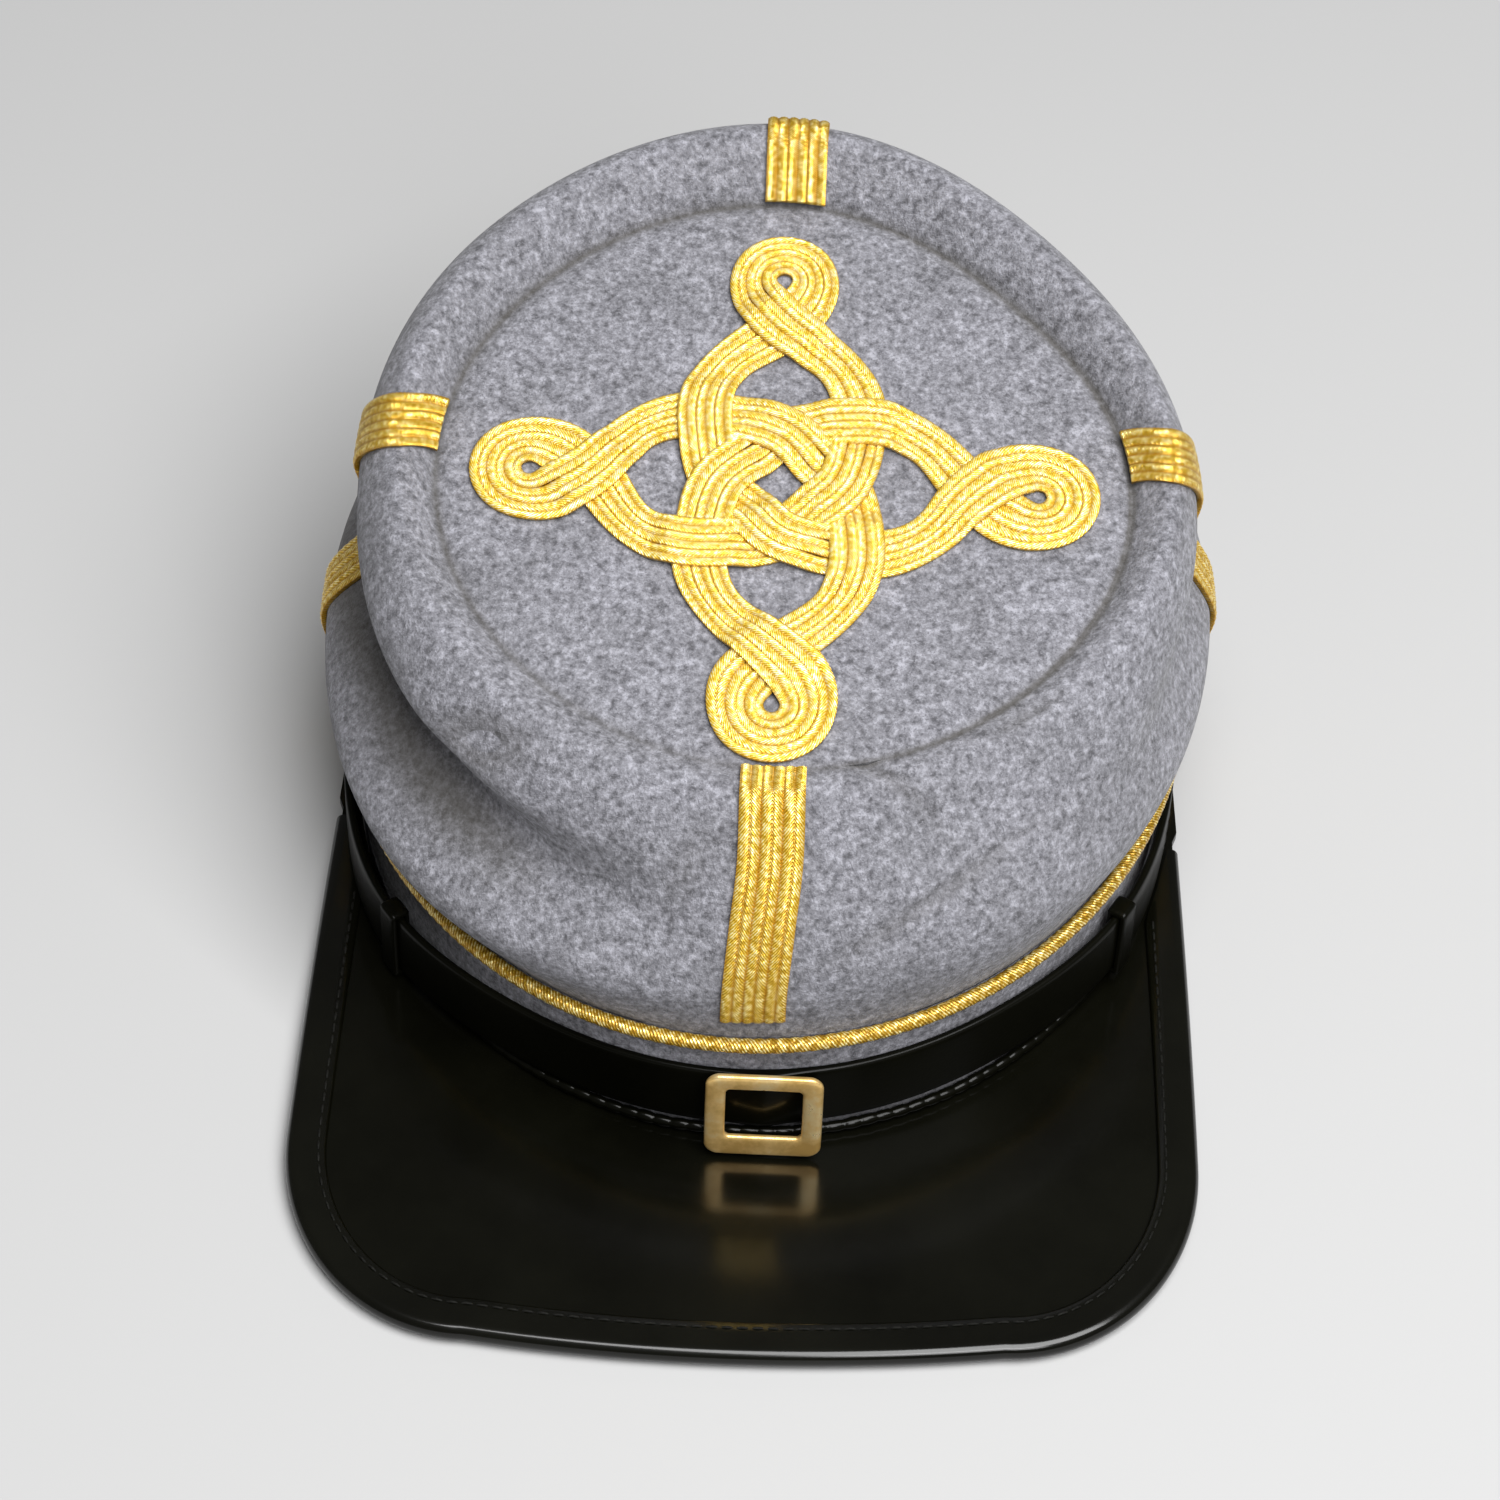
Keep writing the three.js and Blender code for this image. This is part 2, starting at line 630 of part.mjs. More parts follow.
// Knot as one flat ribbon laid over itself, cut out as a single plate
function knotSolid() {
  const controls = knotControls();
  const line = new THREE.CatmullRomCurve3(controls, true, 'centripetal');
  const samples = line.getPoints(controls.length * KNOT_STEPS_PER_SPAN).slice(0, -1);
  const edges = samples.map((p, i) => {
    const before = samples[(i - 1 + samples.length) % samples.length];
    const after = samples[(i + 1) % samples.length];
    const along = new THREE.Vector2(after.x - before.x, after.y - before.y).normalize();
    const half = p.z / 2;
    return {
      left: [p.x - along.y * half, p.y + along.x * half],
      right: [p.x + along.y * half, p.y - along.x * half],
    };
  });
  const pieces = edges.map((edge, i) => {
    const next = edges[(i + 1) % edges.length];
    return wasm.CrossSection.hull([[edge.left, edge.right, next.right, next.left]]);
  });
  const plan = wasm.CrossSection.union(pieces).simplify(0.05);
  const mesh = plan.extrude(KNOT_THICKNESS).getMesh();
  const geometry = new THREE.BufferGeometry();
  const positions = [];
  for (let i = 0; i < mesh.numVert; i += 1) {
    positions.push(...mesh.vertProperties.slice(i * mesh.numProp, i * mesh.numProp + 3));
  }
  geometry.setAttribute('position', new THREE.Float32BufferAttribute(positions, 3));
  geometry.setIndex(Array.from(mesh.triVerts));
  geometry.translate(0, KNOT_CENTRE_Y, GAP);
  return geometry.applyMatrix4(discMatrix);
}

const FINISHES = {
  wool: { color: 0x9a9ba8, roughness: 0.95, metalness: 0 },
  gold: { color: 0xe0b040, roughness: 0.45, metalness: 0.4 },
  leather: { color: 0x14140f, roughness: 0.2, metalness: 0 },
  brass: { color: 0xcda564, roughness: 0.3, metalness: 1 },
};

const kepi = new THREE.Group();
kepi.name = 'kepi';

function add(name, geometry, finish) {
  const material = new THREE.MeshStandardMaterial(FINISHES[finish]);
  material.name = finish;
  const mesh = new THREE.Mesh(geometry, material);
  mesh.name = name;
  kepi.add(mesh);
}

const weltHeight = () => PEAK_SEAM_Z + GAP + WELT_RADIUS;
const peakAngles = range(45, 0, -180);
add('band', bandSolid(), 'wool');
add('crown_wall', crownWallSolid(), 'wool');
add('crown_disc', crownDiscSolid(), 'wool');
add('seam_cord', roundBesideBand(fullTurn(WALL_AROUND), CORD_RADIUS + GAP, bandTop, CORD_RADIUS, 6, true), 'gold');
add('peak', peakSolid(), 'leather');
add('peak_binding', bindingSolid(), 'leather');
add('peak_welt', roundBesideBand(peakAngles, WELT_RADIUS + GAP + 0.1, weltHeight, WELT_RADIUS, 6, false), 'leather');
add('chin_strap', strapSolid(), 'leather');
Object.entries(KEEPER_ANGLES).forEach(([name, angle]) => add(name, keeperSolid(angle), 'leather'));
add('buckle', buckleSolid(), 'brass');
add('button_right', buttonSolid(STRAP_END_ANGLE - 4), 'brass');
add('button_left', buttonSolid(-180 - STRAP_END_ANGLE + 4), 'brass');
Object.entries(BRAIDS).forEach(([side, braid]) => {
  [-1, 0, 1].forEach((place, i) => {
    add(`braid_${side}_${i + 1}`, strandSolid(braid, place * STRAND_PITCH), 'gold');
  });
});
add('top_knot', knotSolid(), 'gold');

// Centre the cap over the origin, resting on z = 0
kepi.updateMatrixWorld(true);
const bounds = new THREE.Box3().setFromObject(kepi, true);
const middle = bounds.getCenter(new THREE.Vector3());
kepi.position.set(-middle.x, -middle.y, -bounds.min.z);
kepi.updateMatrixWorld(true);

export default kepi;
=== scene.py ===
"""Looks of a field officer's kepi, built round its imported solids.

Lengths in this file are millimetres in the cap's own drawing: +Z up, peak toward -Y,
the oval of the band centred on the origin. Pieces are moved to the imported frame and
turned into metres as they are made.
"""

import math

import bpy
import numpy as np
from mathutils import Matrix, Vector

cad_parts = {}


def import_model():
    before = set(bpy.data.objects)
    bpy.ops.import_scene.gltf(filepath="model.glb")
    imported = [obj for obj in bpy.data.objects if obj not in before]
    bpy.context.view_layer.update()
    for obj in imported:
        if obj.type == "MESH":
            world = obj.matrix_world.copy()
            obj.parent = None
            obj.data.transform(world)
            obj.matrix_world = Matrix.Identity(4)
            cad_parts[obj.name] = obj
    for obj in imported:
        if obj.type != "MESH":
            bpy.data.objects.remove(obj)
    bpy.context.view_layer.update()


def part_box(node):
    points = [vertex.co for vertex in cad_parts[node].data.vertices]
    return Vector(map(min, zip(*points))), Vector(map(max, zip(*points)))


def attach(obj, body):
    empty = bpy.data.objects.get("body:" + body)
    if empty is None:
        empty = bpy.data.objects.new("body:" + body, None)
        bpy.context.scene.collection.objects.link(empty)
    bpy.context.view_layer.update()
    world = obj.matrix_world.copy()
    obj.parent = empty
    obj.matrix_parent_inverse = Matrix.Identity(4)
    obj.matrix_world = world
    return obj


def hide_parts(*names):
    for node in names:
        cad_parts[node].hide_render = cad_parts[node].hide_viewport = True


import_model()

MM = 0.001
BODY = "root"

# Faces that meet at less than this many degrees look smooth, on plain and on round pieces
SMOOTH_PLAIN = 50
SMOOTH_ROUND = 80

# Spacing kept between neighbouring pieces
GAP = 0.3

# Band: an upright oval of cloth, its top edge a little higher on the +X side
BAND_HALF_WIDTH = 84.5
BAND_HALF_LENGTH = 101.5
BAND_HEIGHT = 32.9
BAND_SLANT = 2.0
CLOTH = 2.0

# Crown disc: a flat oval, tipped toward the peak
DISC_CENTRE = (1.8, -12.3, 96.5)
DISC_HALF_WIDTH = 68.2
DISC_HALF_LENGTH = 65.8
DISC_TILT = 12.5

# Crown wall, one row per angle round the cap (0 = +X side, 90 = back)
WALL_COLUMNS = ["bulge_out", "bulge_up", "fold_depth", "fold_at", "roll_out", "roll_drop",
                "crest_out", "crest_rise", "seam_in"]
WALL_ROWS = {
    -90: [0.3, 13, -1.4, 0.50, 15.5, 8, 5.5, 0.6, 0.0],
    -45: [5.8, 18, -0.8, 0.58, 15.2, 8.8, 6.2, 1.8, 0.0],
    0: [5.2, 20, 5.0, 0.60, 13.4, 8, 7.8, 4.8, 0.0],
    45: [3.0, 18, 1.0, 0.60, 18.2, 5, 10.2, 6.2, 4.8],
    90: [2.0, 16, 2.0, 0.60, 20.8, 4, 11.5, 9.0, 0.0],
    135: [3.0, 16, 1.0, 0.60, 20.0, 6, 11.0, 6.6, 1.0],
    180: [4.2, 21, 10.5, 0.58, 15.4, 7, 8.0, 5.0, 1.0],
    225: [8.2, 16, 10.0, 0.60, 19.0, 8, 8.0, 2.8, 1.0],
}
WALL_ROW_STEP = 45
WALL_AROUND = 256
WALL_LEVELS = 96

# Seam round the disc: how far off and how deep the cloth dips to it, less in front and
# more behind, and how strongly painted shade darkens it, most at the right and least in front
SEAM_REACH = 2.3
SEAM_DEPTH = 0.95
SEAM_FRONT_LOSS = 0.65
SEAM_BACK_SHARE = 0.2
SEAM_LINE = 0.8
SEAM_PAINTED_SHADE = 0.65
SEAM_PAINTED_SHADE_RIGHT = 0.75
SEAM_PAINTED_SHADE_RIGHT_ANGLE = -25
SEAM_PAINTED_SHADE_FRONT_LOSS = 0.35
# Painted shade in the dip beside the seam and in the dents, by how deep they are
DIP_PAINTED_SHADE = 0.3
DENT_PAINTED_SHADE = 0.4

# Painted shade down in the deep fold on the left: how far up the wall it lies at each angle, and
# the depths of fold where it begins and where it is full
FOLD_ANGLES = [170, 180, 200, 230]
FOLD_LEVELS = [0.21, 0.24, 0.31, 0.34]
FOLD_SPREAD = 0.05
FOLD_FAINT = 5.5
FOLD_FULL = 10.0

# Small dents and creases in the soft wall: angle, place up the wall, length, width, which
# way they run (0 = level, 90 = up the wall), and depth
DENTS = [
    (-131.0, 0.67, 8.0, 4.5, 20, 2.6),
    (-68.0, 0.43, 20.0, 1.8, 24, 1.2),
    (-48.0, 0.86, 7.0, 1.8, -75, 1.0),
    (-72.0, 0.84, 11.0, 1.7, -30, 1.1),
    (-100.0, 0.55, 9.0, 3.5, 70, 0.7),
]

# Twisted cord over the seam between band and crown; its radius between the plies and
# how far they swell are shares of the whole
CORD_RADIUS = 1.5
CORD_PLIES = 3
CORD_TWIST = 2.3
CORD_CORE = 0.86
CORD_SWELL = 0.15

# Peak: a large plate, nearly flat, with rounded front corners
PEAK_THICKNESS = 2.0
PEAK_SEAM_Z = 4.6
PEAK_FRONT_Z = 3.6
PEAK_ROOT_HALF_WIDTH = 87.0
PEAK_ROOT_Y = 3.5
PEAK_HALF_WIDTH = 89.0
PEAK_DEPTH = 53.6
PEAK_FRONT_Y = -(BAND_HALF_LENGTH + PEAK_DEPTH)
PEAK_SKEW = 0.011
PEAK_FRONT_BOW = 3.4
PEAK_CORNER_X = 38.0
PEAK_CORNER_Y = 45.0
PEAK_ROOT_GAP = 0.4
PEAK_WAVE = 0.10
BINDING_WIDTH = 8.0
BINDING_LEATHER = 0.8
BINDING_LEAST = 1.5
STITCH_INSET = 6.5
STITCH_PITCH = 2.9
STITCH_LENGTH = 2.1
STITCH_RADIUS = 0.26
STITCH_RISE = 0.16
WELT_RADIUS = 1.2
WELT_STITCH = 3.4
WELT_PINCH = 0.20
WELT_UNEVEN = 0.05
WELT_SWAY = 0.14

# Front strap, which stands off the band in two bows (angle, distance, spread), with its
# buckle, two keepers and two side buttons
STRAP_WIDTH = 15.6
STRAP_LEATHER = 1.6
STRAP_Z = 16.4
STRAP_SLANT = 1.2
STRAP_END_ANGLE = 6.0
STRAP_BOWS = [
    (-146, 4.5, 20),
    (-32, 2.6, 17),
]
STRAP_BULGE = 0.9
STRAP_BULGE_REACH = 5.0
KEEPER_LEATHER = 1.0
KEEPER_WIDTH = 5.0
KEEPER_ANGLES = {"keeper_left": -142, "keeper_right": -34}
BUCKLE_X = 3.7
BUCKLE_WIDTH = 22.8
BUCKLE_HEIGHT = 21.2
BUCKLE_HOLE_WIDTH = 14.9
BUCKLE_HOLE_HEIGHT = 12.8
BUCKLE_HOLE_RISE = 0.7
BUCKLE_THICKNESS = 1.6
BUCKLE_CORNER = 3.0
BUCKLE_HOLE_CORNER = 1.2
BUCKLE_TOP_Y = -104.7
BUCKLE_BOTTOM_Z = 5.4
BUCKLE_LEAN = 6.8
BUTTON_RADIUS = 6.5
BUTTON_HEIGHT = 4.2
BUTTON_GAP = 0.45

# Braid: flat strands of gold thread, three side by side. Each has two ribs, whose edges
# stand at a share of its thickness, with small lumps along them, and is thinner at its ends
STRAND_WIDTH = 4.1
STRAND_PITCH = 4.1
STRAND_THICKNESS = 1.25
STRAND_CLEARANCE = 0.15
STRAND_STEP = 0.4
STRAND_EDGE = 0.52
RIB_LEAST = 0.16
LUMP_HEIGHT = 0.07
LUMP_PITCH = 1.25
LUMP_SHIFT = 1.3
BRAID_END_HEIGHT = 0.55
BRAID_END_REACH = 1.4
BRAID_START = 0.09
BRAID_END = 0.997

# Angles of each braid at even steps up the wall, from the cord to the disc seam
BRAIDS = {
    "front": [-89.4, -89.4, -89.4, -89.3, -89.3, -89.2],
    "back": [90.0, 89.9, 89.8, 89.7, 89.7, 89.6],
    "left": [182.0, 183.0, 180.5, 174.0, 176.2, 173.2],
    "right": [1.5, 0.5, 3.0, 6.5, 3.4, 6.2],
}

# Knot on the disc: four arms about its centre, each ending in a round loop that swells
# by a share toward its neck. Rows: turn, place of the neck, middle and radius of the loop
KNOT_CENTRE_Y = -3.0
KNOT_WIDTH = 10.8
KNOT_NECK_WIDTH = 11.4
KNOT_EYE_RADIUS = 1.7
KNOT_LOOP_SWELL = 0.14
KNOT_ARMS = [
    (1.2, 37.6, 49.0, 10.9),
    (88.2, 36.8, 48.9, 11.9),
    (180, 38.2, 49.8, 12.4),
    (-90.4, 37.6, 49.9, 12.2),
]

# One side of an arm: place across and along it, and the braid's width
ARM_SIDE = [
    (6.1, -6.1, 10.8),
    (12.1, 0.0, 10.8),
    (14.7, 10.0, 10.8),
    (14.8, 20.2, 10.6),
    (10.9, 28.2, 9.4),
]
RING_ANGLES = [135, 90, 45, 0, -45, -90, -135]
CROSSING_RISE = 1.15
CROSSING_FADE = 5.0
CROSSING_REACH = 16.0
LINE_SMOOTHING = 1.6

# Camera: where it looks, how far off it stands and how it is turned
VIEW_TARGET = (-2.07, -37.9, 45.0)
VIEW_ELEVATION = 47.4
VIEW_AZIMUTH = 0.4
VIEW_ROLL = 2.2
VIEW_DISTANCE = 820.0
VIEW_LENS = 98.88

# Surroundings: how pale the floor is and how bright the air
FLOOR_GREY = 0.42
WORLD_STRENGTH = 0.11

UP = np.array([0.0, 0.0, 1.0])

# The drawing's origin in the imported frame, found from the middle of the band
band_low, band_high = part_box("band")
SHIFT = np.array([(band_low.x + band_high.x) / 2, (band_low.y + band_high.y) / 2, 0.0]) / MM


def unit(vectors):
    """Vectors of length one."""
    return vectors / np.linalg.norm(vectors, axis=-1, keepdims=True)


def lengths_along(points, closed=False):
    """Distance of each point from the first along a line, and of its end where it closes."""
    line = np.concatenate([points, points[:1]]) if closed else points
    return np.concatenate([[0], np.cumsum(np.linalg.norm(np.diff(line, axis=0), axis=1))])


def smooth_line(controls, place, closed=False):
    """Points at places from 0 to 1 on a centripetal line through control points.

    controls is one list of points, or one list for each place.
    """
    count = controls.shape[-2]
    spans = count if closed else count - 1
    along = np.clip(place, 0, 1) * spans
    index = np.minimum(along.astype(int), spans - 1)
    t = (along - index)[..., None]
    if closed:
        padded = np.concatenate([controls[-1:], controls, controls[:2]])
    else:
        before = 2 * controls[..., :1, :] - controls[..., 1:2, :]
        after = 2 * controls[..., -1:, :] - controls[..., -2:-1, :]
        padded = np.concatenate([before, controls, after], axis=-2)
    if controls.ndim == 2:
        corners = [padded[index + k] for k in range(4)]
    else:
        corners = [padded[np.arange(len(index)), index + k] for k in range(4)]
    p0, p1, p2, p3 = corners
    d0, d1, d2 = (np.linalg.norm(b - a, axis=-1, keepdims=True) ** 0.5
                  for a, b in ((p0, p1), (p1, p2), (p2, p3)))
    start = ((p1 - p0) / d0 - (p2 - p0) / (d0 + d1) + (p2 - p1) / d1) * d1
    end = ((p2 - p1) / d1 - (p3 - p1) / (d1 + d2) + (p3 - p2) / d2) * d1
    square = -3 * p1 + 3 * p2 - 2 * start - end
    cube = 2 * p1 - 2 * p2 + start + end
    return p1 + t * (start + t * (square + t * cube))


def turned(angle):
    """Cosine and sine of angles in degrees."""
    radians = np.radians(angle)
    return np.cos(radians), np.sin(radians)


def full_turn(count):
    """Even angles round a full turn."""
    return np.arange(count) * 360.0 / count


def band_top(angle):
    """Height of the top edge of the band."""
    return BAND_HEIGHT + BAND_SLANT * turned(angle)[0]


def band_outward(angle):
    """Level direction out of the band's face."""
    c, s = turned(angle)
    return unit(np.stack([c / BAND_HALF_WIDTH, s / BAND_HALF_LENGTH, 0 * c], axis=-1))


def beside_band(angle, out, z):
    """Points beside the band: angle, distance out from its face, height."""
    angle, out, z = np.broadcast_arrays(np.asarray(angle, float), out, z)
    c, s = turned(angle)
    face = np.stack([BAND_HALF_WIDTH * c, BAND_HALF_LENGTH * s, z], axis=-1)
    return face + out[..., None] * band_outward(angle)


tilt_cos, tilt_sin = turned(DISC_TILT)
disc_centre = np.array(DISC_CENTRE)
disc_across = np.array([1.0, 0.0, 0.0])
disc_along = np.array([0.0, tilt_cos, tilt_sin])
disc_normal = np.cross(disc_across, disc_along)


def wall_row(angle):
    """Periodic smooth blend of the wall table at each angle."""
    keys = sorted(WALL_ROWS)
    count = len(keys)
    rows = np.array([WALL_ROWS[key] for key in keys], float)
    place = ((angle - keys[0]) / WALL_ROW_STEP) % count
    index = np.floor(place).astype(int) % count
    t = (place - np.floor(place))[:, None]
    before, start, end, after = (rows[(index + k) % count] for k in (-1, 0, 1, 2))
    square = 2 * before - 5 * start + 4 * end - after
    cube = 3 * start - before - 3 * end + after
    blended = start + 0.5 * t * (end - before + t * (square + t * cube))
    return dict(zip(WALL_COLUMNS, blended.T[:, :, None]))


def disc_edge(angle, inset):
    """Points of the disc seam moved in by a distance, and the direction out of it."""
    c, s = turned(angle)
    half_width = DISC_HALF_WIDTH - inset
    half_length = DISC_HALF_LENGTH - inset
    place = disc_centre + (half_width * c)[:, None] * disc_across + (half_length * s)[:, None] * disc_along
    outward = unit((c / half_width)[:, None] * disc_across + (s / half_length)[:, None] * disc_along)
    return place, outward


def wall_controls(angle):
    """Band seam, bulge, fold, roll, crest and disc seam at each angle."""
    row = wall_row(angle)
    seam = beside_band(angle, 0.0, band_top(angle) + GAP)
    outward = band_outward(angle)
    disc_seam, disc_outward = disc_edge(angle, row["seam_in"][:, 0])
    bulge = seam + row["bulge_out"] * outward + row["bulge_up"] * UP
    roll = disc_seam + row["roll_out"] * disc_outward - row["roll_drop"] * disc_normal
    fold = bulge + (roll - bulge) * row["fold_at"] - row["fold_depth"] * outward
    crest = disc_seam + row["crest_out"] * disc_outward + row["crest_rise"] * disc_normal
    return np.stack([seam, bulge, fold, roll, crest, disc_seam], axis=1)


def wall_points(angle, up):
    """Points of the crown wall: angle, and place from the cord (0) to the disc seam (1)."""
    angle, up = np.broadcast_arrays(np.asarray(angle, float), np.asarray(up, float))
    flat = smooth_line(wall_controls(angle.ravel()), up.ravel())
    return flat.reshape(angle.shape + (3,))


def wall_normals(angle, up):
    """Directions out of the crown wall, by differences."""
    turn_step = 0.5
    up_step = 0.004
    around = wall_points(angle + turn_step, up) - wall_points(angle - turn_step, up)
    above = wall_points(angle, np.minimum(1, up + up_step))
    below = wall_points(angle, np.maximum(0, up - up_step))
    return unit(np.cross(around, above - below))


def sweep(loops, closed_path, along=None, across=None):
    """Points, faces and flat coordinates of a solid from section loops along a path.

    along and across are the flat coordinates of the path's steps and the loop's corners,
    each with one more entry than there are steps where it closes on itself.
    """
    steps, size = loops.shape[:2]
    spans = steps if closed_path else steps - 1
    i, j = np.meshgrid(np.arange(spans), np.arange(size), indexing="ij")
    i, j = i.ravel(), j.ravel()
    corners = ((i, j), (i, j + 1), (i + 1, j + 1), (i + 1, j))
    faces = np.stack([(a % steps) * size + b % size for a, b in corners], axis=1).tolist()
    if along is None:
        along = np.arange(steps + 1)
    if across is None:
        across = np.arange(size + 1)
    flat = np.stack([np.stack([along[a], across[b]], axis=-1) for a, b in corners], axis=1)
    flat = flat.reshape(-1, 2).tolist()
    points = loops.reshape(-1, 3)
    if not closed_path:
        last = (steps - 1) * size
        for first, order in ((0, range(size - 1, -1, -1)), (last, range(size))):
            faces.append([first + k for k in order])
            flat.extend([[0.0, 0.0]] * size)
    return points, faces, flat


def signed_volume(points, faces):
    """Volume within the faces, below zero where they are inside out."""
    total = 0.0
    quads = np.array([face for face in faces if len(face) == 4])
    for k in (1, 2):
        a, b, c = points[quads[:, 0]], points[quads[:, k]], points[quads[:, k + 1]]
        total += np.einsum("ij,ij->i", a, np.cross(b, c)).sum() / 6
    return total


def make_piece(name, solid, finish, stands_for=(), smooth_angle=SMOOTH_PLAIN):
    """Object from a solid in the drawing's millimetres, riding on the cap.

    A solid may carry, after its flat coordinates, the share of painted shade at each point.
    """
    points, faces, flat, *painted_shade_share = solid
    if signed_volume(points, faces) < 0:
        sizes = [len(face) for face in faces]
        starts = np.concatenate([[0], np.cumsum(sizes)])
        flat = [row for a, b in zip(starts[:-1], starts[1:]) for row in reversed(flat[a:b])]
        faces = [face[::-1] for face in faces]
    mesh = bpy.data.meshes.new(name)
    mesh.from_pydata(((points + SHIFT) * MM).tolist(), [], faces)
    layer = mesh.uv_layers.new(name="flat")
    layer.data.foreach_set("uv", (np.array(flat, float) * MM).ravel())
    if painted_shade_share:
        mesh.attributes.new("painted_shade_share", "FLOAT", "POINT").data.foreach_set("value", painted_shade_share[0])
    mesh.set_sharp_from_angle(angle=math.radians(smooth_angle))
    mesh.materials.append(finish["material"])
    made = bpy.data.objects.new(name, mesh)
    bpy.context.scene.collection.objects.link(made)
    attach(made, BODY)
    if stands_for:
        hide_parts(*stands_for)
    return made


def join_solids(solids):
    """One solid from several that don't touch."""
    points, faces, flat = [], [], []
    count = 0
    for some_points, some_faces, some_flat in solids:
        points.append(some_points)
        faces.extend([[count + k for k in face] for face in some_faces])
        flat.extend(some_flat)
        count += len(some_points)
    return np.concatenate(points), faces, flat


class Shader:
    """Node tree of one material, with short calls for its nodes."""

    def __init__(self, name):
        self.material = bpy.data.materials.new(name)
        self.material.use_nodes = True
        self.tree = self.material.node_tree
        self.surface = self.tree.nodes["Principled BSDF"]

    def add(self, kind, inputs=None, **settings):
        made = self.tree.nodes.new("ShaderNode" + kind)
        for key, value in settings.items():
            setattr(made, key, value)
        for key, value in (inputs or {}).items():
            self.feed(made.inputs[key], value)
        return made.outputs[0]

    def feed(self, socket, value):
        if isinstance(value, bpy.types.NodeSocket):
            self.tree.links.new(value, socket)
        else:
            socket.default_value = value

    def set(self, **inputs):
        for key, value in inputs.items():
            self.feed(self.surface.inputs[key.replace("_", " ")], value)

    def place(self):
        """Position on the cap in metres."""
        return self.add("TexCoord").node.outputs["Object"]

    def flat(self):
        """Flat coordinates along and across a piece, in metres."""
        return self.add("TexCoord").node.outputs["UV"]

    def noise(self, scale, detail=3.0, roughness=0.55, vector=None):
        inputs = {"Scale": scale, "Detail": detail, "Roughness": roughness,
                  "Vector": vector or self.place()}
        return self.add("TexNoise", inputs)

    def streaks(self, turn, long_scale, fine_scale):
        """Noise drawn out along one direction, as fibres lie."""
        rotated = self.add("Mapping", {"Vector": self.place(), "Rotation": turn})
        stretched = self.add("Mapping", {"Vector": rotated, "Scale": (long_scale, fine_scale, fine_scale)})
        return self.noise(1.0, 2.0, 0.5, stretched)

    def ramp(self, value, stops):
        """Colours against a value, as (place, colour) stops."""
        made = self.add("ValToRGB", {0: value}).node
        elements = made.color_ramp.elements
        while len(elements) < len(stops):
            elements.new(0.5)
        for element, (place, colour) in zip(elements, stops):
            element.position = place
            element.color = (*colour, 1.0)
        return made.outputs["Color"]

    def math(self, operation, first, second=0.0):
        return self.add("Math", {0: first, 1: second}, operation=operation)

    def span(self, value, low, high, to_low, to_high):
        """Value moved from one range to another."""
        inputs = {0: value, 1: low, 2: high, 3: to_low, 4: to_high}
        return self.add("MapRange", inputs)

    def mix(self, share, first, second, blend="MIX"):
        """Colour between two colours."""
        made = self.tree.nodes.new("ShaderNodeMix")
        made.data_type = "RGBA"
        made.blend_type = blend
        self.feed(made.inputs[0], share)
        self.feed(made.inputs[6], first)
        self.feed(made.inputs[7], second)
        return made.outputs[2]

    def bump(self, height, distance, strength, after=None):
        inputs = {"Height": height, "Distance": distance, "Strength": strength}
        if after is not None:
            inputs["Normal"] = after
        return self.add("Bump", inputs)


def wool_finish():
    """Fulled grey wool with dark and pale fibres, and painted shade, dark and brownish, down in its
    creases, dips and along the seam.
    """
    s = Shader("wool")
    turns = [(0.3, 0.2, 0.4), (1.1, 0.9, 2.0), (0.5, 1.4, 3.6), (2.2, 0.4, 5.1)]
    fibres = [s.streaks(turn, 520, 2300) for turn in turns]
    pale = s.math("MAXIMUM", fibres[0], fibres[1])
    dark = s.math("MAXIMUM", fibres[2], fibres[3])
    fleck = s.noise(900, 3.0, 0.65)
    blotch = s.noise(480, 2.0, 0.5)
    patch = s.noise(60, 2.0, 0.5)
    mottle = s.math("ADD", s.math("MULTIPLY", fleck, 0.6), s.math("MULTIPLY", blotch, 0.4))
    base = s.ramp(mottle, [(0.36, (0.070, 0.069, 0.077)), (0.46, (0.145, 0.144, 0.160)),
                           (0.54, (0.205, 0.204, 0.226)), (0.64, (0.315, 0.314, 0.350))])
    darker = s.span(dark, 0.58, 0.74, 0.0, 0.7)
    with_dark = s.mix(darker, base, (0.06, 0.06, 0.07, 1))
    paler = s.span(pale, 0.60, 0.76, 0.0, 0.5)
    with_pale = s.mix(paler, with_dark, (0.34, 0.34, 0.375, 1))
    shade = s.ramp(patch, [(0.3, (0.90, 0.90, 0.90)), (0.7, (1.08, 1.08, 1.09))])
    colour = s.mix(1.0, with_pale, shade, "MULTIPLY")
    # Painted shade: each point's share darkens the wool toward a dark brown, along the seam, in the dip,
    # the dents and the deep fold
    painted_shade_share = s.add("Attribute", attribute_name="painted_shade_share").node.outputs["Fac"]
    painted_shade = s.mix(s.math("MULTIPLY", painted_shade_share, 0.72), colour, (0.048, 0.043, 0.034, 1))
    height = s.math("ADD", s.math("MULTIPLY", fleck, 0.8), s.math("ADD", pale, dark))
    normal = s.bump(height, 0.0004, 0.6)
    s.set(Base_Color=painted_shade, Roughness=0.95, Normal=normal, Sheen_Weight=0.12, Sheen_Roughness=0.5)
    return {"material": s.material, "slot": "wool"}


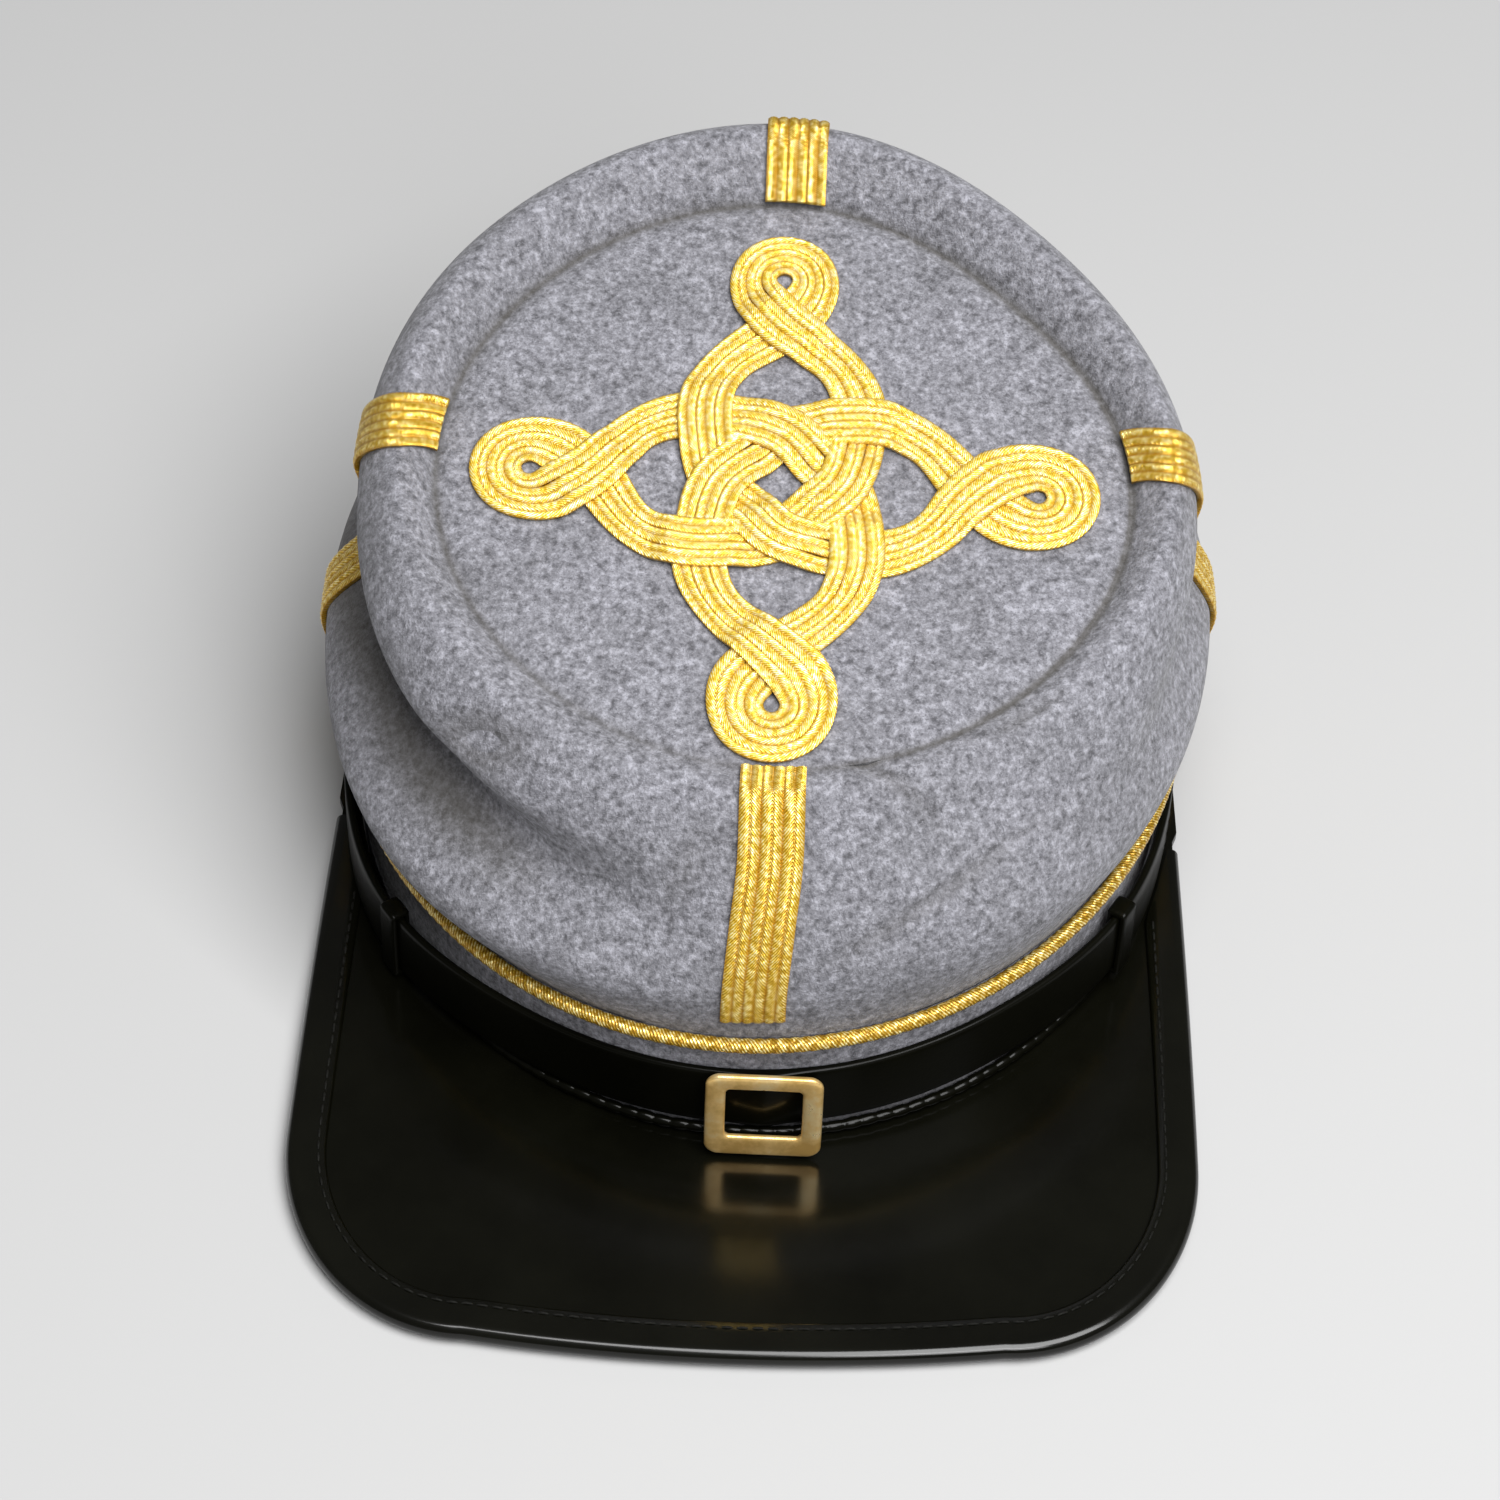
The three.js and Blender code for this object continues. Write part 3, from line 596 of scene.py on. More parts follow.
def gold_finish(name, pitch, slope, valley, depth, shades, metal=0.45):
    """Metallic gold thread wound at a slope, with painted shade in the valleys between ribs and painted
    glints.

    valley gives, from the flat coordinates, 0 in the valleys and 1 on the ribs, and depth
    is how far the painted shade in the valleys goes. shades are the thread's colours, dark to pale, the
    palest a painted highlight.
    """
    s = Shader(name)
    parts = s.add("SeparateXYZ", {0: s.flat()}).node
    along, across = parts.outputs[0], parts.outputs[1]
    lean = s.math("MULTIPLY", s.math("ABSOLUTE", across), slope)
    thread = s.math("PINGPONG", s.math("DIVIDE", s.math("ADD", along, lean), pitch), 0.5)
    rib = valley(s, along, across)
    # Painted glints: fine noise and the thread's wind lighten the colour through the ramp toward a
    # near-white highlight; the same noise also bumps the surface
    glint = s.noise(950, 2.0, 0.6)
    coarse = s.noise(330, 2.0, 0.5)
    light = s.math("ADD", s.math("MULTIPLY", glint, 0.75), s.math("MULTIPLY", thread, 0.5))
    colour = s.ramp(light, list(zip((0.34, 0.45, 0.54, 0.66), shades)))
    # Painted shade: the colour darkens toward a deep brown down in the valleys
    deep = s.mix(s.span(rib, 0.0, 0.55, depth, 0.0), colour, (0.46, 0.22, 0.010, 1))
    height = s.math("ADD", thread, s.math("MULTIPLY", glint, 0.6))
    normal = s.bump(height, 0.00022, 0.8)
    normal = s.bump(coarse, 0.0005, 0.22, normal)
    s.set(Base_Color=deep, Metallic=metal, Roughness=0.30, Normal=normal)
    return {"material": s.material, "slot": "gold"}


def strand_valley(s, along, across):
    """Valleys along a strand's middle and both edges."""
    share = s.math("MULTIPLY", s.math("ABSOLUTE", across), 2 / (STRAND_WIDTH * MM))
    apart = s.math("ABSOLUTE", s.math("SUBTRACT", s.math("MULTIPLY", share, 2.0), 1.0))
    return s.math("SUBTRACT", 1.0, apart)


def cord_valley(s, along, across):
    """Valleys that wind round the twisted cord between its plies."""
    round_share = s.math("MULTIPLY", across, CORD_PLIES / (2 * math.pi * CORD_RADIUS * MM))
    cycles = s.math("SUBTRACT", round_share, s.math("DIVIDE", along, CORD_TWIST * MM))
    return s.math("MULTIPLY", s.math("PINGPONG", cycles, 0.5), 2.0)


def leather_finish(name, roughness, grain, gloss):
    """Black leather with fine pores, soft unevenness and faint smears in its gloss."""
    s = Shader(name)
    pores = s.add("TexVoronoi", {"Scale": 1500.0, "Vector": s.place()}, feature="SMOOTH_F1")
    waves = s.noise(45, 2.0, 0.5)
    smears = s.noise(28, 4.0, 0.6)
    tone = s.ramp(smears, [(0.3, (0.0012, 0.0012, 0.0005)), (0.7, (0.0026, 0.0026, 0.0011))])
    rough = s.span(smears, 0.35, 0.7, roughness * 0.8, roughness * 1.3)
    normal = s.bump(waves, 0.0012, 0.12)
    normal = s.bump(pores, 0.00012, grain, normal)
    s.set(Base_Color=tone, Roughness=rough, Normal=normal, Coat_Weight=gloss, Coat_Roughness=0.15,
          Specular_IOR_Level=0.035)
    return {"material": s.material, "slot": "leather"}


def brass_finish():
    """Pale brass, polished, with dulled patches and fine scratches."""
    s = Shader("brass")
    patches = s.noise(150, 4.0, 0.6)
    scratches = s.streaks((0.2, 0.9, 0.5), 180, 5200)
    tone = s.ramp(patches, [(0.38, (0.68, 0.42, 0.125)), (0.52, (0.92, 0.62, 0.235)),
                            (0.64, (1.0, 0.77, 0.39))])
    rough = s.span(patches, 0.3, 0.7, 0.42, 0.26)
    normal = s.bump(scratches, 0.00008, 0.4)
    s.set(Base_Color=tone, Metallic=0.75, Roughness=rough, Normal=normal)
    return {"material": s.material, "slot": "brass"}


def thread_finish():
    """Waxed black sewing thread with its twist."""
    s = Shader("black_thread")
    twist = s.streaks((0.4, 0.3, 0.8), 900, 3800)
    tone = s.ramp(twist, [(0.35, (0.003, 0.003, 0.0025)), (0.7, (0.014, 0.014, 0.012))])
    normal = s.bump(twist, 0.0001, 0.5)
    s.set(Base_Color=tone, Roughness=0.6, Normal=normal, Specular_IOR_Level=0.08)
    return {"material": s.material, "slot": "leather"}


WOOL = wool_finish()
# Colours of the one gold thread, dark to pale, as painted light and shade: palest on the knot on top,
# darker on the wall braids, darkest on the cord low down; the palest stop of each is a painted highlight
KNOT_GOLD_LIT = [(0.68, 0.40, 0.014), (0.94, 0.63, 0.045), (1.0, 0.80, 0.17), (1.0, 0.97, 0.68)]
WALL_GOLD_SHADED = [(0.44, 0.24, 0.008), (0.66, 0.40, 0.022), (0.86, 0.60, 0.08), (1.0, 0.91, 0.48)]
CORD_GOLD_SHADED = [(0.22, 0.11, 0.004), (0.38, 0.21, 0.008), (0.56, 0.34, 0.022), (1.0, 0.90, 0.45)]
KNOT_GOLD = gold_finish("gold_knot", 0.00062, 1.1, strand_valley, 0.8, KNOT_GOLD_LIT)
GOLD = gold_finish("gold_braid", 0.00062, 1.1, strand_valley, 0.85, WALL_GOLD_SHADED, 0.55)
GOLD_CORD = gold_finish("gold_cord", 0.0007, 0.6, cord_valley, 0.35, CORD_GOLD_SHADED)
PEAK_LEATHER = leather_finish("peak_leather", 0.42, 0.08, 0.42)
BINDING_FINISH = leather_finish("binding_leather", 0.36, 0.10, 0.75)
WELT_LEATHER = leather_finish("welt_leather", 0.38, 0.12, 0.26)
STRAP_LEATHER_FINISH = leather_finish("strap_leather", 0.44, 0.20, 0.14)
BRASS = brass_finish()
THREAD = thread_finish()


def band_solid():
    """Upright cloth band with softened edges."""
    soft = 0.5
    angles = full_turn(WALL_AROUND)
    top = band_top(angles)
    section = [(0.0, soft), (0.0, top - soft), (-soft, top), (soft - CLOTH, top),
               (-CLOTH, top - soft), (-CLOTH, soft), (soft - CLOTH, 0.0), (-soft, 0.0)]
    return sweep(np.stack([beside_band(angles, out, z) for out, z in section], axis=1), True)


def seam_dip(distance, angle):
    """How far cloth dips at a distance from the seam round the disc.

    The seam is deep at back and sides and faint in front.
    """
    frontness = np.clip(-turned(angle)[1], -SEAM_BACK_SHARE, 1)
    return (SEAM_DEPTH - SEAM_FRONT_LOSS * frontness) * np.exp(-(distance / SEAM_REACH) ** 2)


def seam_painted_shade(distance, angle):
    """How strongly painted shade darkens the cloth at a distance from the seam round the disc."""
    rightness = np.clip(turned(angle - SEAM_PAINTED_SHADE_RIGHT_ANGLE)[0], 0, 1) ** 2
    frontness = np.clip(-turned(angle)[1], 0, 1) ** 4
    strength = SEAM_PAINTED_SHADE + SEAM_PAINTED_SHADE_RIGHT * rightness - SEAM_PAINTED_SHADE_FRONT_LOSS * frontness
    return strength * np.exp(-(distance / SEAM_LINE) ** 2)


def fold_painted_shade(angle, up):
    """How strongly painted shade darkens the cloth down in the deep fold of the wall."""
    depth = wall_row(angle.ravel())["fold_depth"].reshape(angle.shape)
    deep = np.clip((depth - FOLD_FAINT) / (FOLD_FULL - FOLD_FAINT), 0, 1)
    middle = np.interp(angle % 360, FOLD_ANGLES, FOLD_LEVELS)
    return deep * np.exp(-((up - middle) / FOLD_SPREAD) ** 2)


def dent_depth(points):
    """How far each point of the wall is pressed in by its dents and creases."""
    pressed = np.zeros(points.shape[:-1])
    for angle, up, length, width, runs, depth in DENTS:
        here = np.array([angle]), np.array([up])
        apart = points - wall_points(*here)[0]
        normal = wall_normals(*here)[0]
        level = unit(np.cross(UP, normal))
        rising = np.cross(normal, level)
        c, s = turned(runs)
        along = apart @ (c * level + s * rising) / length
        across = apart @ (c * rising - s * level) / width
        off = apart @ normal / length
        pressed += depth * np.exp(-along ** 2 - across ** 2 - off ** 2)
    return pressed


def crown_wall_solid():
    """Soft wall with its roll, bulge, folds and dents, dipping to the seam round the disc.

    Its levels are even, and closer together beside the seam.
    """
    even = np.linspace(0, 1, WALL_LEVELS)
    beside_seam = 1 - (1 - even[-2]) * np.array([0.75, 0.5, 0.3, 0.15, 0.0])
    levels = np.concatenate([even[:-1], beside_seam])
    angle, up = np.broadcast_arrays(full_turn(WALL_AROUND)[:, None], levels[None, :])
    outside = wall_points(angle, up)
    normals = wall_normals(angle, up)
    normals[:, 0] = band_outward(angle[:, 0])
    to_disc = np.linalg.norm(outside - outside[:, -1:], axis=-1)
    dip = seam_dip(to_disc, angle)
    dents = dent_depth(outside)
    skin = outside - dip[..., None] * disc_normal - dents[..., None] * normals
    inside = outside - CLOTH * normals
    loops = np.concatenate([skin, inside[:, ::-1]], axis=1)
    # Painted shade on the outer skin: along the seam, in the dip, the dents and the deep fold; none inside
    painted_shade = seam_painted_shade(to_disc, angle) + DIP_PAINTED_SHADE * dip
    painted_shade += DENT_PAINTED_SHADE * np.minimum(dents, 1) + fold_painted_shade(angle, up)
    painted_shade_share = np.concatenate([painted_shade, np.zeros(dip.shape)], axis=1)
    return *sweep(loops, True), np.clip(painted_shade_share.ravel(), 0, 1)


def crown_disc_solid():
    """Flat cloth disc that dips to the seam round it."""
    angles = full_turn(WALL_AROUND)
    pushed = wall_row(angles)["seam_in"][:, 0]
    beside_seam = [0, 0.3, 0.6, 0.9, 1.3, 1.7, 2.2, 2.7, 3.3, 4.0, 4.8]
    insets = np.concatenate([beside_seam, np.linspace(6, 60, 22)])
    rings = []
    painted_shade = []
    for inset in insets:
        edge, _ = disc_edge(angles, pushed + inset)
        dip = seam_dip(inset, angles)
        rings.append(edge - dip[:, None] * disc_normal)
        # Painted shade along the seam and in its dip
        painted_shade.append(seam_painted_shade(inset, angles) + DIP_PAINTED_SHADE * dip)
    under = [disc_edge(angles, pushed + inset)[0] - CLOTH * disc_normal for inset in (60, 30, 0)]
    points = np.stack(rings + under, axis=1)
    solid_points, faces, flat = sweep(points, True)
    size = points.shape[1]
    middle = len(insets) - 1
    top = [k * size + middle for k in range(WALL_AROUND)]
    bottom = [corner + 1 for corner in top]
    kept, kept_flat = [], []
    for number, face in enumerate(faces):
        if number % size != middle:
            kept.append(face)
            kept_flat.extend(flat[4 * number:4 * number + 4])
    kept += [top, bottom[::-1]]
    kept_flat.extend([[0.0, 0.0]] * (2 * WALL_AROUND))
    painted_shade_share = np.stack(painted_shade + [np.zeros_like(angles)] * len(under), axis=1)
    return solid_points, kept, kept_flat, np.clip(painted_shade_share.ravel(), 0, 1)


def cord_solid():
    """Twisted gold cord lying on the seam between band and crown."""
    steps = 1700
    sides = 16
    angles = full_turn(steps)
    centre = beside_band(angles, CORD_RADIUS + GAP, band_top(angles))
    along = lengths_along(centre, closed=True)
    twist = 2 * np.pi * along[:-1] / CORD_TWIST
    side = 2 * np.pi * np.arange(sides) / sides
    lobes = np.abs(np.sin((side[None, :] * CORD_PLIES - twist[:, None]) / 2))
    radius = CORD_RADIUS * (CORD_CORE + CORD_SWELL * lobes ** 0.7)
    outward = band_outward(angles)[:, None, :]
    loops = (centre[:, None, :] + (radius * np.cos(side))[..., None] * outward
             + (radius * np.sin(side))[..., None] * UP)
    across = CORD_RADIUS * 2 * np.pi * np.arange(sides + 1) / sides
    return sweep(loops, True, along, across)


# Peak

def peak_outline():
    """Outline of the peak from its right root round the front to its left root."""
    corner_top = PEAK_FRONT_Y + PEAK_FRONT_BOW + PEAK_CORNER_Y
    half_flat = PEAK_HALF_WIDTH - PEAK_CORNER_X
    t = np.linspace(0, 1, 40)
    swell = (PEAK_HALF_WIDTH - PEAK_ROOT_HALF_WIDTH) * np.sin(t * np.pi / 2)
    side = np.column_stack([PEAK_ROOT_HALF_WIDTH + swell, PEAK_ROOT_Y + (corner_top - PEAK_ROOT_Y) * t])
    turn = np.linspace(0, np.pi / 2, 40)[1:]
    corner = np.column_stack([half_flat + PEAK_CORNER_X * np.cos(turn),
                              corner_top - PEAK_CORNER_Y * np.sin(turn)])
    x = np.linspace(half_flat, 0, 30)[1:]
    front = np.column_stack([x, PEAK_FRONT_Y + PEAK_FRONT_BOW * (x / half_flat) ** 2])
    half = np.concatenate([side, corner, front])
    other = half[:-1][::-1] * [-1, 1]
    whole = np.concatenate([half, other])
    forward = np.maximum(0, whole[:, 1] / PEAK_FRONT_Y)
    whole[:, 1] += PEAK_SKEW * whole[:, 0] * forward
    return whole


def inset_outline(outline, distance):
    """Outline moved inward by a distance, point by point."""
    last = len(outline) - 1
    before = outline[np.maximum(0, np.arange(last + 1) - 1)]
    after = outline[np.minimum(last, np.arange(last + 1) + 1)]
    along = unit(after - before)
    inward = np.column_stack([along[:, 1], -along[:, 0]])
    return outline + inward * np.asarray(distance)[..., None]


def peak_top(y):
    """Height of the top of the peak plate."""
    share = np.clip((y - PEAK_FRONT_Y) / PEAK_DEPTH, 0, 1)
    return PEAK_FRONT_Z + (PEAK_SEAM_Z - PEAK_FRONT_Z) * share


OUTLINE = peak_outline()
SIDE_POINTS = beside_band(np.linspace(0, -180, 361), 0.0, 0.0)[:, :2]
ROOM = np.linalg.norm(OUTLINE[:, None] - SIDE_POINTS[None], axis=-1).min(axis=1)
BESIDE_WELT = 2 * WELT_RADIUS + 3 * GAP
BINDING_WIDTHS = np.minimum(BINDING_WIDTH, ROOM - BESIDE_WELT)


def peak_solid():
    """Glossy plate between the band and the binding, with faint waves."""
    outer = inset_outline(OUTLINE, np.where(BINDING_WIDTHS < BINDING_LEAST, 0.0, BINDING_LEATHER + GAP))
    root = math.degrees(math.asin(PEAK_ROOT_Y / BAND_HALF_LENGTH))
    along = lengths_along(outer)
    inner = beside_band(root - (180 + 2 * root) * along / along[-1], PEAK_ROOT_GAP, 0.0)[:, :2]
    shares = np.linspace(0, 1, 22)[None, :, None]
    across = inner[:, None] + (outer - inner)[:, None] * shares
    top_z = peak_top(across[..., 1])
    fade = 4 * shares[..., 0] * (1 - shares[..., 0])
    wave = PEAK_WAVE * fade * np.sin(across[..., 0] / 17 + 0.6) * np.sin(across[..., 1] / 13)
    top = np.concatenate([across, (top_z + wave)[..., None]], axis=-1)
    bottom = np.concatenate([across, (top_z - PEAK_THICKNESS)[..., None]], axis=-1)
    return sweep(np.concatenate([top, bottom[:, ::-1]], axis=1), False)


def binding_solid():
    """Leather strip folded over the peak's edge."""
    over = GAP + BINDING_LEATHER
    under = PEAK_THICKNESS + GAP + BINDING_LEATHER
    half = (over + under) / 2
    turns = np.radians(np.linspace(90, -90, 13))
    edge = [(half * 0.9 * (1 - math.cos(t)), (under - over) / 2 - half * math.sin(t)) for t in turns]
    section = [(BINDING_WIDTH, -over + 0.35), (BINDING_WIDTH - 0.2, -over + 0.1),
               (BINDING_WIDTH - 0.5, -over), (BINDING_WIDTH - 2.6, -over), (4.0, -over), (2.6, -over)]
    section += edge
    section += [(4.0, under), (BINDING_WIDTH, under), (BINDING_WIDTH, under - BINDING_LEATHER),
                (BINDING_LEATHER, under - BINDING_LEATHER), (BINDING_LEATHER, -GAP), (BINDING_WIDTH, -GAP)]
    wide = BINDING_WIDTHS >= BINDING_LEAST
    wide[1:-1] &= (BINDING_WIDTHS[2:] >= BINDING_LEAST) & (BINDING_WIDTHS[:-2] >= BINDING_LEAST)
    corners = []
    for inset, drop in section:
        place = inset_outline(OUTLINE, np.minimum(inset, BINDING_WIDTHS))
        corners.append(np.column_stack([place, peak_top(place[:, 1]) - drop]))
    loops = np.stack(corners, axis=1)[wide]
    return sweep(loops, False)


def capsule(start, end, radius, raised):
    """One stitch: a thread lying from start to end, its middle raised by an amount."""
    sides = 8
    t = np.linspace(0, 1, 7)
    along = unit(end - start)
    sideways = unit(np.cross(UP, along))
    over = np.cross(along, sideways)
    centre = start + (end - start) * t[:, None] + raised * np.sin(np.pi * t)[:, None] * over
    thick = radius * np.sin(np.pi * (0.08 + 0.84 * t)) ** 0.35
    c, s = turned(full_turn(sides))
    ring = c[:, None] * sideways + s[:, None] * over
    return sweep(centre[:, None] + thick[:, None, None] * ring[None], False)


def binding_stitches():
    """Row of small stitches beside the binding's inner edge, where it is wide."""
    place = inset_outline(OUTLINE, np.minimum(STITCH_INSET, BINDING_WIDTHS))
    place = place[BINDING_WIDTHS > BINDING_WIDTH - 1.0]
    points = np.column_stack([place, peak_top(place[:, 1]) + GAP + BINDING_LEATHER])
    along = lengths_along(points)

    def at(distance):
        return np.array([np.interp(distance, along, points[:, k]) for k in range(3)])

    starts = np.arange(STITCH_PITCH, along[-1] - STITCH_PITCH, STITCH_PITCH)
    return join_solids([capsule(at(start), at(start + STITCH_LENGTH), STITCH_RADIUS, STITCH_RISE)
                        for start in starts])


def welt_solid():
    """Rolled leather welt in the angle of peak and band, pinched by its stitches."""
    steps = 900
    sides = 12
    angles = np.linspace(0, -180, steps)
    height = PEAK_SEAM_Z + GAP + WELT_RADIUS
    centre = beside_band(angles, WELT_RADIUS + PEAK_ROOT_GAP, height)
    along = lengths_along(centre)
    pinch = 1 - WELT_PINCH + WELT_PINCH * np.abs(np.sin(np.pi * along / WELT_STITCH)) ** 0.6
    pinch -= WELT_UNEVEN * (1 + np.sin(along / 4.7) * np.sin(along / 1.9 + 1))
    centre += (WELT_SWAY * np.sin(along / 6.1) * np.sin(along / 2.7))[:, None] * UP
    c, s = turned(full_turn(sides) + 180 / sides)
    outward = band_outward(angles)[:, None, :]
    radius = (WELT_RADIUS * pinch)[:, None, None]
    loops = centre[:, None] + radius * (c[:, None] * outward + s[:, None] * UP)
    return sweep(loops, False)


# Front strap and its fittings

def strap_inside(angle):
    """Distance from the band to the inner face of the strap."""
    out = np.full_like(np.asarray(angle, float), GAP)
    for middle, distance, spread in STRAP_BOWS:
        out = out + distance * np.exp(-((angle - middle) / spread) ** 2)
    return out


def strap_middle(angle):
    """Height of the middle of the strap."""
    return STRAP_Z + STRAP_SLANT * turned(angle)[0]


def strap_bulge(angle):
    """Swelling of the strap inside the buckle."""
    c, s = turned(angle)
    distance = (BAND_HALF_WIDTH * c - BUCKLE_X) / STRAP_BULGE_REACH
    return np.where(s < 0, STRAP_BULGE * np.exp(-distance ** 2), 0.0)


def strap_solid():
    """Flat leather strap with rounded edges, a little full in the middle.

    Its corners are heights from the middle and shares of the thickness.
    """
    angles = np.linspace(STRAP_END_ANGLE, -180 - STRAP_END_ANGLE, 520)
    half = STRAP_WIDTH / 2
    soft = 0.5
    upper = [(half / 2, 1.03), (half - 1.6, 1.0), (half - soft, 0.97), (half - 0.15, 0.85), (half, 0.55)]
    outer = [(-rise, share) for rise, share in upper[::-1]] + [(0.0, 1.05)] + upper
    inner = [(half, 0.2), (half - 0.3, 0.0), (-half + 0.3, 0.0), (-half, 0.2)]
    inside = strap_inside(angles)
    thick = STRAP_LEATHER * 0.96 + strap_bulge(angles)
    middle = strap_middle(angles)
    corners = [beside_band(angles, inside + thick * share, middle + rise)
               for rise, share in outer + inner]
    return sweep(np.stack(corners, axis=1), False)


def rounded_rectangle(width, height, corner, rise, count):
    """Points round a rectangle with round corners, one for each of a count of directions."""
    c, s = turned(full_turn(count) + 180 / count)
    x = np.sign(c) * np.minimum(width / 2 - corner, np.abs(c) * (width + height))
    y = np.sign(s) * np.minimum(height / 2 - corner, np.abs(s) * (width + height))
    return np.column_stack([x + corner * c, y + corner * s + rise])


def keeper_solid(angle):
    """Small leather loop round the strap, its edges softened."""
    thickness = STRAP_LEATHER + 2 * GAP + 2 * KEEPER_LEATHER
    height = STRAP_WIDTH + 2 * GAP + 2 * KEEPER_LEATHER
    walls = 2 * KEEPER_LEATHER
    outer = rounded_rectangle(thickness, height, 0.9, 0.0, 64)
    inner = rounded_rectangle(thickness - walls, height - walls, 0.2, 0.0, 64)
    half = KEEPER_WIDTH / 2
    soft = 0.35
    section = [(1.0, soft - half), (1.0 - soft, -half), (0.0, -half), (0.0, half), (1.0 - soft, half),
               (1.0, half - soft), (1.04, half - 1.2), (1.04, 1.2 - half)]
    near = np.array([angle - 1.0, angle + 1.0])
    before, after = beside_band(near, strap_inside(near) + STRAP_LEATHER / 2, 0.0)
    along = unit(before - after)
    outward = np.cross(UP, along)
    place = beside_band(angle, strap_inside(angle) + STRAP_LEATHER / 2, strap_middle(angle))
    corners = []
    for share, forward in section:
        flat = inner + (outer - inner) * share
        corners.append(place + flat[:, :1] * outward + flat[:, 1:] * UP + forward * along)
    return sweep(np.stack(corners, axis=1), True)


def buckle_solid():
    """Flat brass frame with rounded edges, leaning on the peak."""
    count = 160
    squareness = 0.6
    outer = rounded_rectangle(BUCKLE_WIDTH, BUCKLE_HEIGHT, BUCKLE_CORNER, 0.0, count)
    inner = rounded_rectangle(BUCKLE_HOLE_WIDTH, BUCKLE_HOLE_HEIGHT, BUCKLE_HOLE_CORNER,
                              BUCKLE_HOLE_RISE, count)
    c, s = turned(90 - BUCKLE_LEAN)
    rise = BUCKLE_HEIGHT * s
    corners = []
    for over, out in zip(*turned(full_turn(24))):
        share = (1 + np.sign(over) * np.abs(over) ** squareness) / 2
        depth = BUCKLE_THICKNESS / 2 * (1 + np.sign(out) * np.abs(out) ** squareness)
        flat = inner + (outer - inner) * share
        y = flat[:, 1] - BUCKLE_HEIGHT / 2
        corners.append(np.column_stack([
            flat[:, 0] + BUCKLE_X,
            y * c - depth * s + BUCKLE_TOP_Y,
            y * s + depth * c + BUCKLE_BOTTOM_Z + rise,
        ]))
    return sweep(np.stack(corners, axis=1), True)


def button_solid(angle):
    """Domed button with a rolled rim, from places in from its edge and their heights."""
    profile = np.array([(0.3, 0.0), (0.0, 0.25), (0.0, 0.9), (0.2, 1.15), (0.6, 1.2), (0.8, 1.15),
                        (1.1, 1.6), (1.8, 2.5), (2.7, 3.2), (3.9, 3.8), (5.2, 4.1), (6.15, BUTTON_HEIGHT)])
    outward = band_outward(angle)
    sideways = np.cross(UP, outward)
    place = beside_band(angle, strap_inside(angle) + STRAP_LEATHER + BUTTON_GAP, strap_middle(angle))
    c, s = turned(full_turn(48))
    ring = c[:, None] * sideways + s[:, None] * UP
    radius = BUTTON_RADIUS - profile[:, 0, None, None]
    loops = place + radius * ring[None] + profile[:, 1, None, None] * outward
    return sweep(loops, False)


# Gold braid

def strand_section():
    """Across a flat strand: place from its middle and height, two ribs with a groove between."""
    one_rib = np.array([0.06, 0.18, 0.34, 0.5, 0.66, 0.82, 0.94, 1])
    across = np.concatenate([-one_rib[::-1], one_rib])
    rib = np.sqrt(np.clip(1 - (2 * np.abs(across) - 1) ** 2, RIB_LEAST, 1))
    height = STRAND_THICKNESS * (STRAND_EDGE + (1 - STRAND_EDGE) * rib)
    half = STRAND_WIDTH / 2
    top = np.column_stack([across * half, height])
    bottom = np.array([(half * 0.9, 0.0), (-half * 0.9, 0.0)])
    return np.concatenate([top, bottom])


SECTION = strand_section()
SECTION_FLAT = np.append(SECTION[:, 0], SECTION[0, 0])


def thread_lumps(along):
    """Small rise and fall of the ribs along a strand, out of step on its two ribs."""
    side = np.sign(SECTION[:, 0])[None, :]
    raised = (SECTION[:, 1] > 0.5 * STRAND_THICKNESS)[None, :]
    turn = 2 * np.pi * along[:, None] / LUMP_PITCH + LUMP_SHIFT * side
    return raised * LUMP_HEIGHT * np.sin(turn)


def braid_angle(braid, up):
    """Angle of a braid's middle line at each place up the wall."""
    keys = np.array(braid)
    place = up * (len(keys) - 1)
    index = np.minimum(place.astype(int), len(keys) - 2)
    t = place - index
    return keys[index] + (keys[index + 1] - keys[index]) * t * t * (3 - 2 * t)


def wall_strand_solid(braid, aside):
    """One strand up the crown wall beside the middle line of its braid."""
    coarse = np.linspace(BRAID_START, BRAID_END, 200)
    length = lengths_along(wall_points(braid_angle(braid, coarse), coarse))[-1]
    steps = int(length / STRAND_STEP)
    up = np.linspace(BRAID_START, BRAID_END, steps)
    angle = braid_angle(braid, up)
    per_degree = np.linalg.norm(wall_points(angle + 0.5, up) - wall_points(angle - 0.5, up), axis=1)
    along = np.linspace(0, length, steps)
    places = angle[:, None] + (aside + SECTION[None, :, 0]) / per_degree[:, None]
    levels = np.repeat(up[:, None], len(SECTION), axis=1)
    from_end = np.minimum(along, length - along)[:, None]
    full = np.clip(BRAID_END_HEIGHT + from_end / BRAID_END_REACH, 0, 1)
    height = STRAND_CLEARANCE + (SECTION[None, :, 1] + thread_lumps(along)) * full
    loops = wall_points(places, levels) + height[..., None] * wall_normals(places, levels)
    return sweep(loops, False, along, SECTION_FLAT)


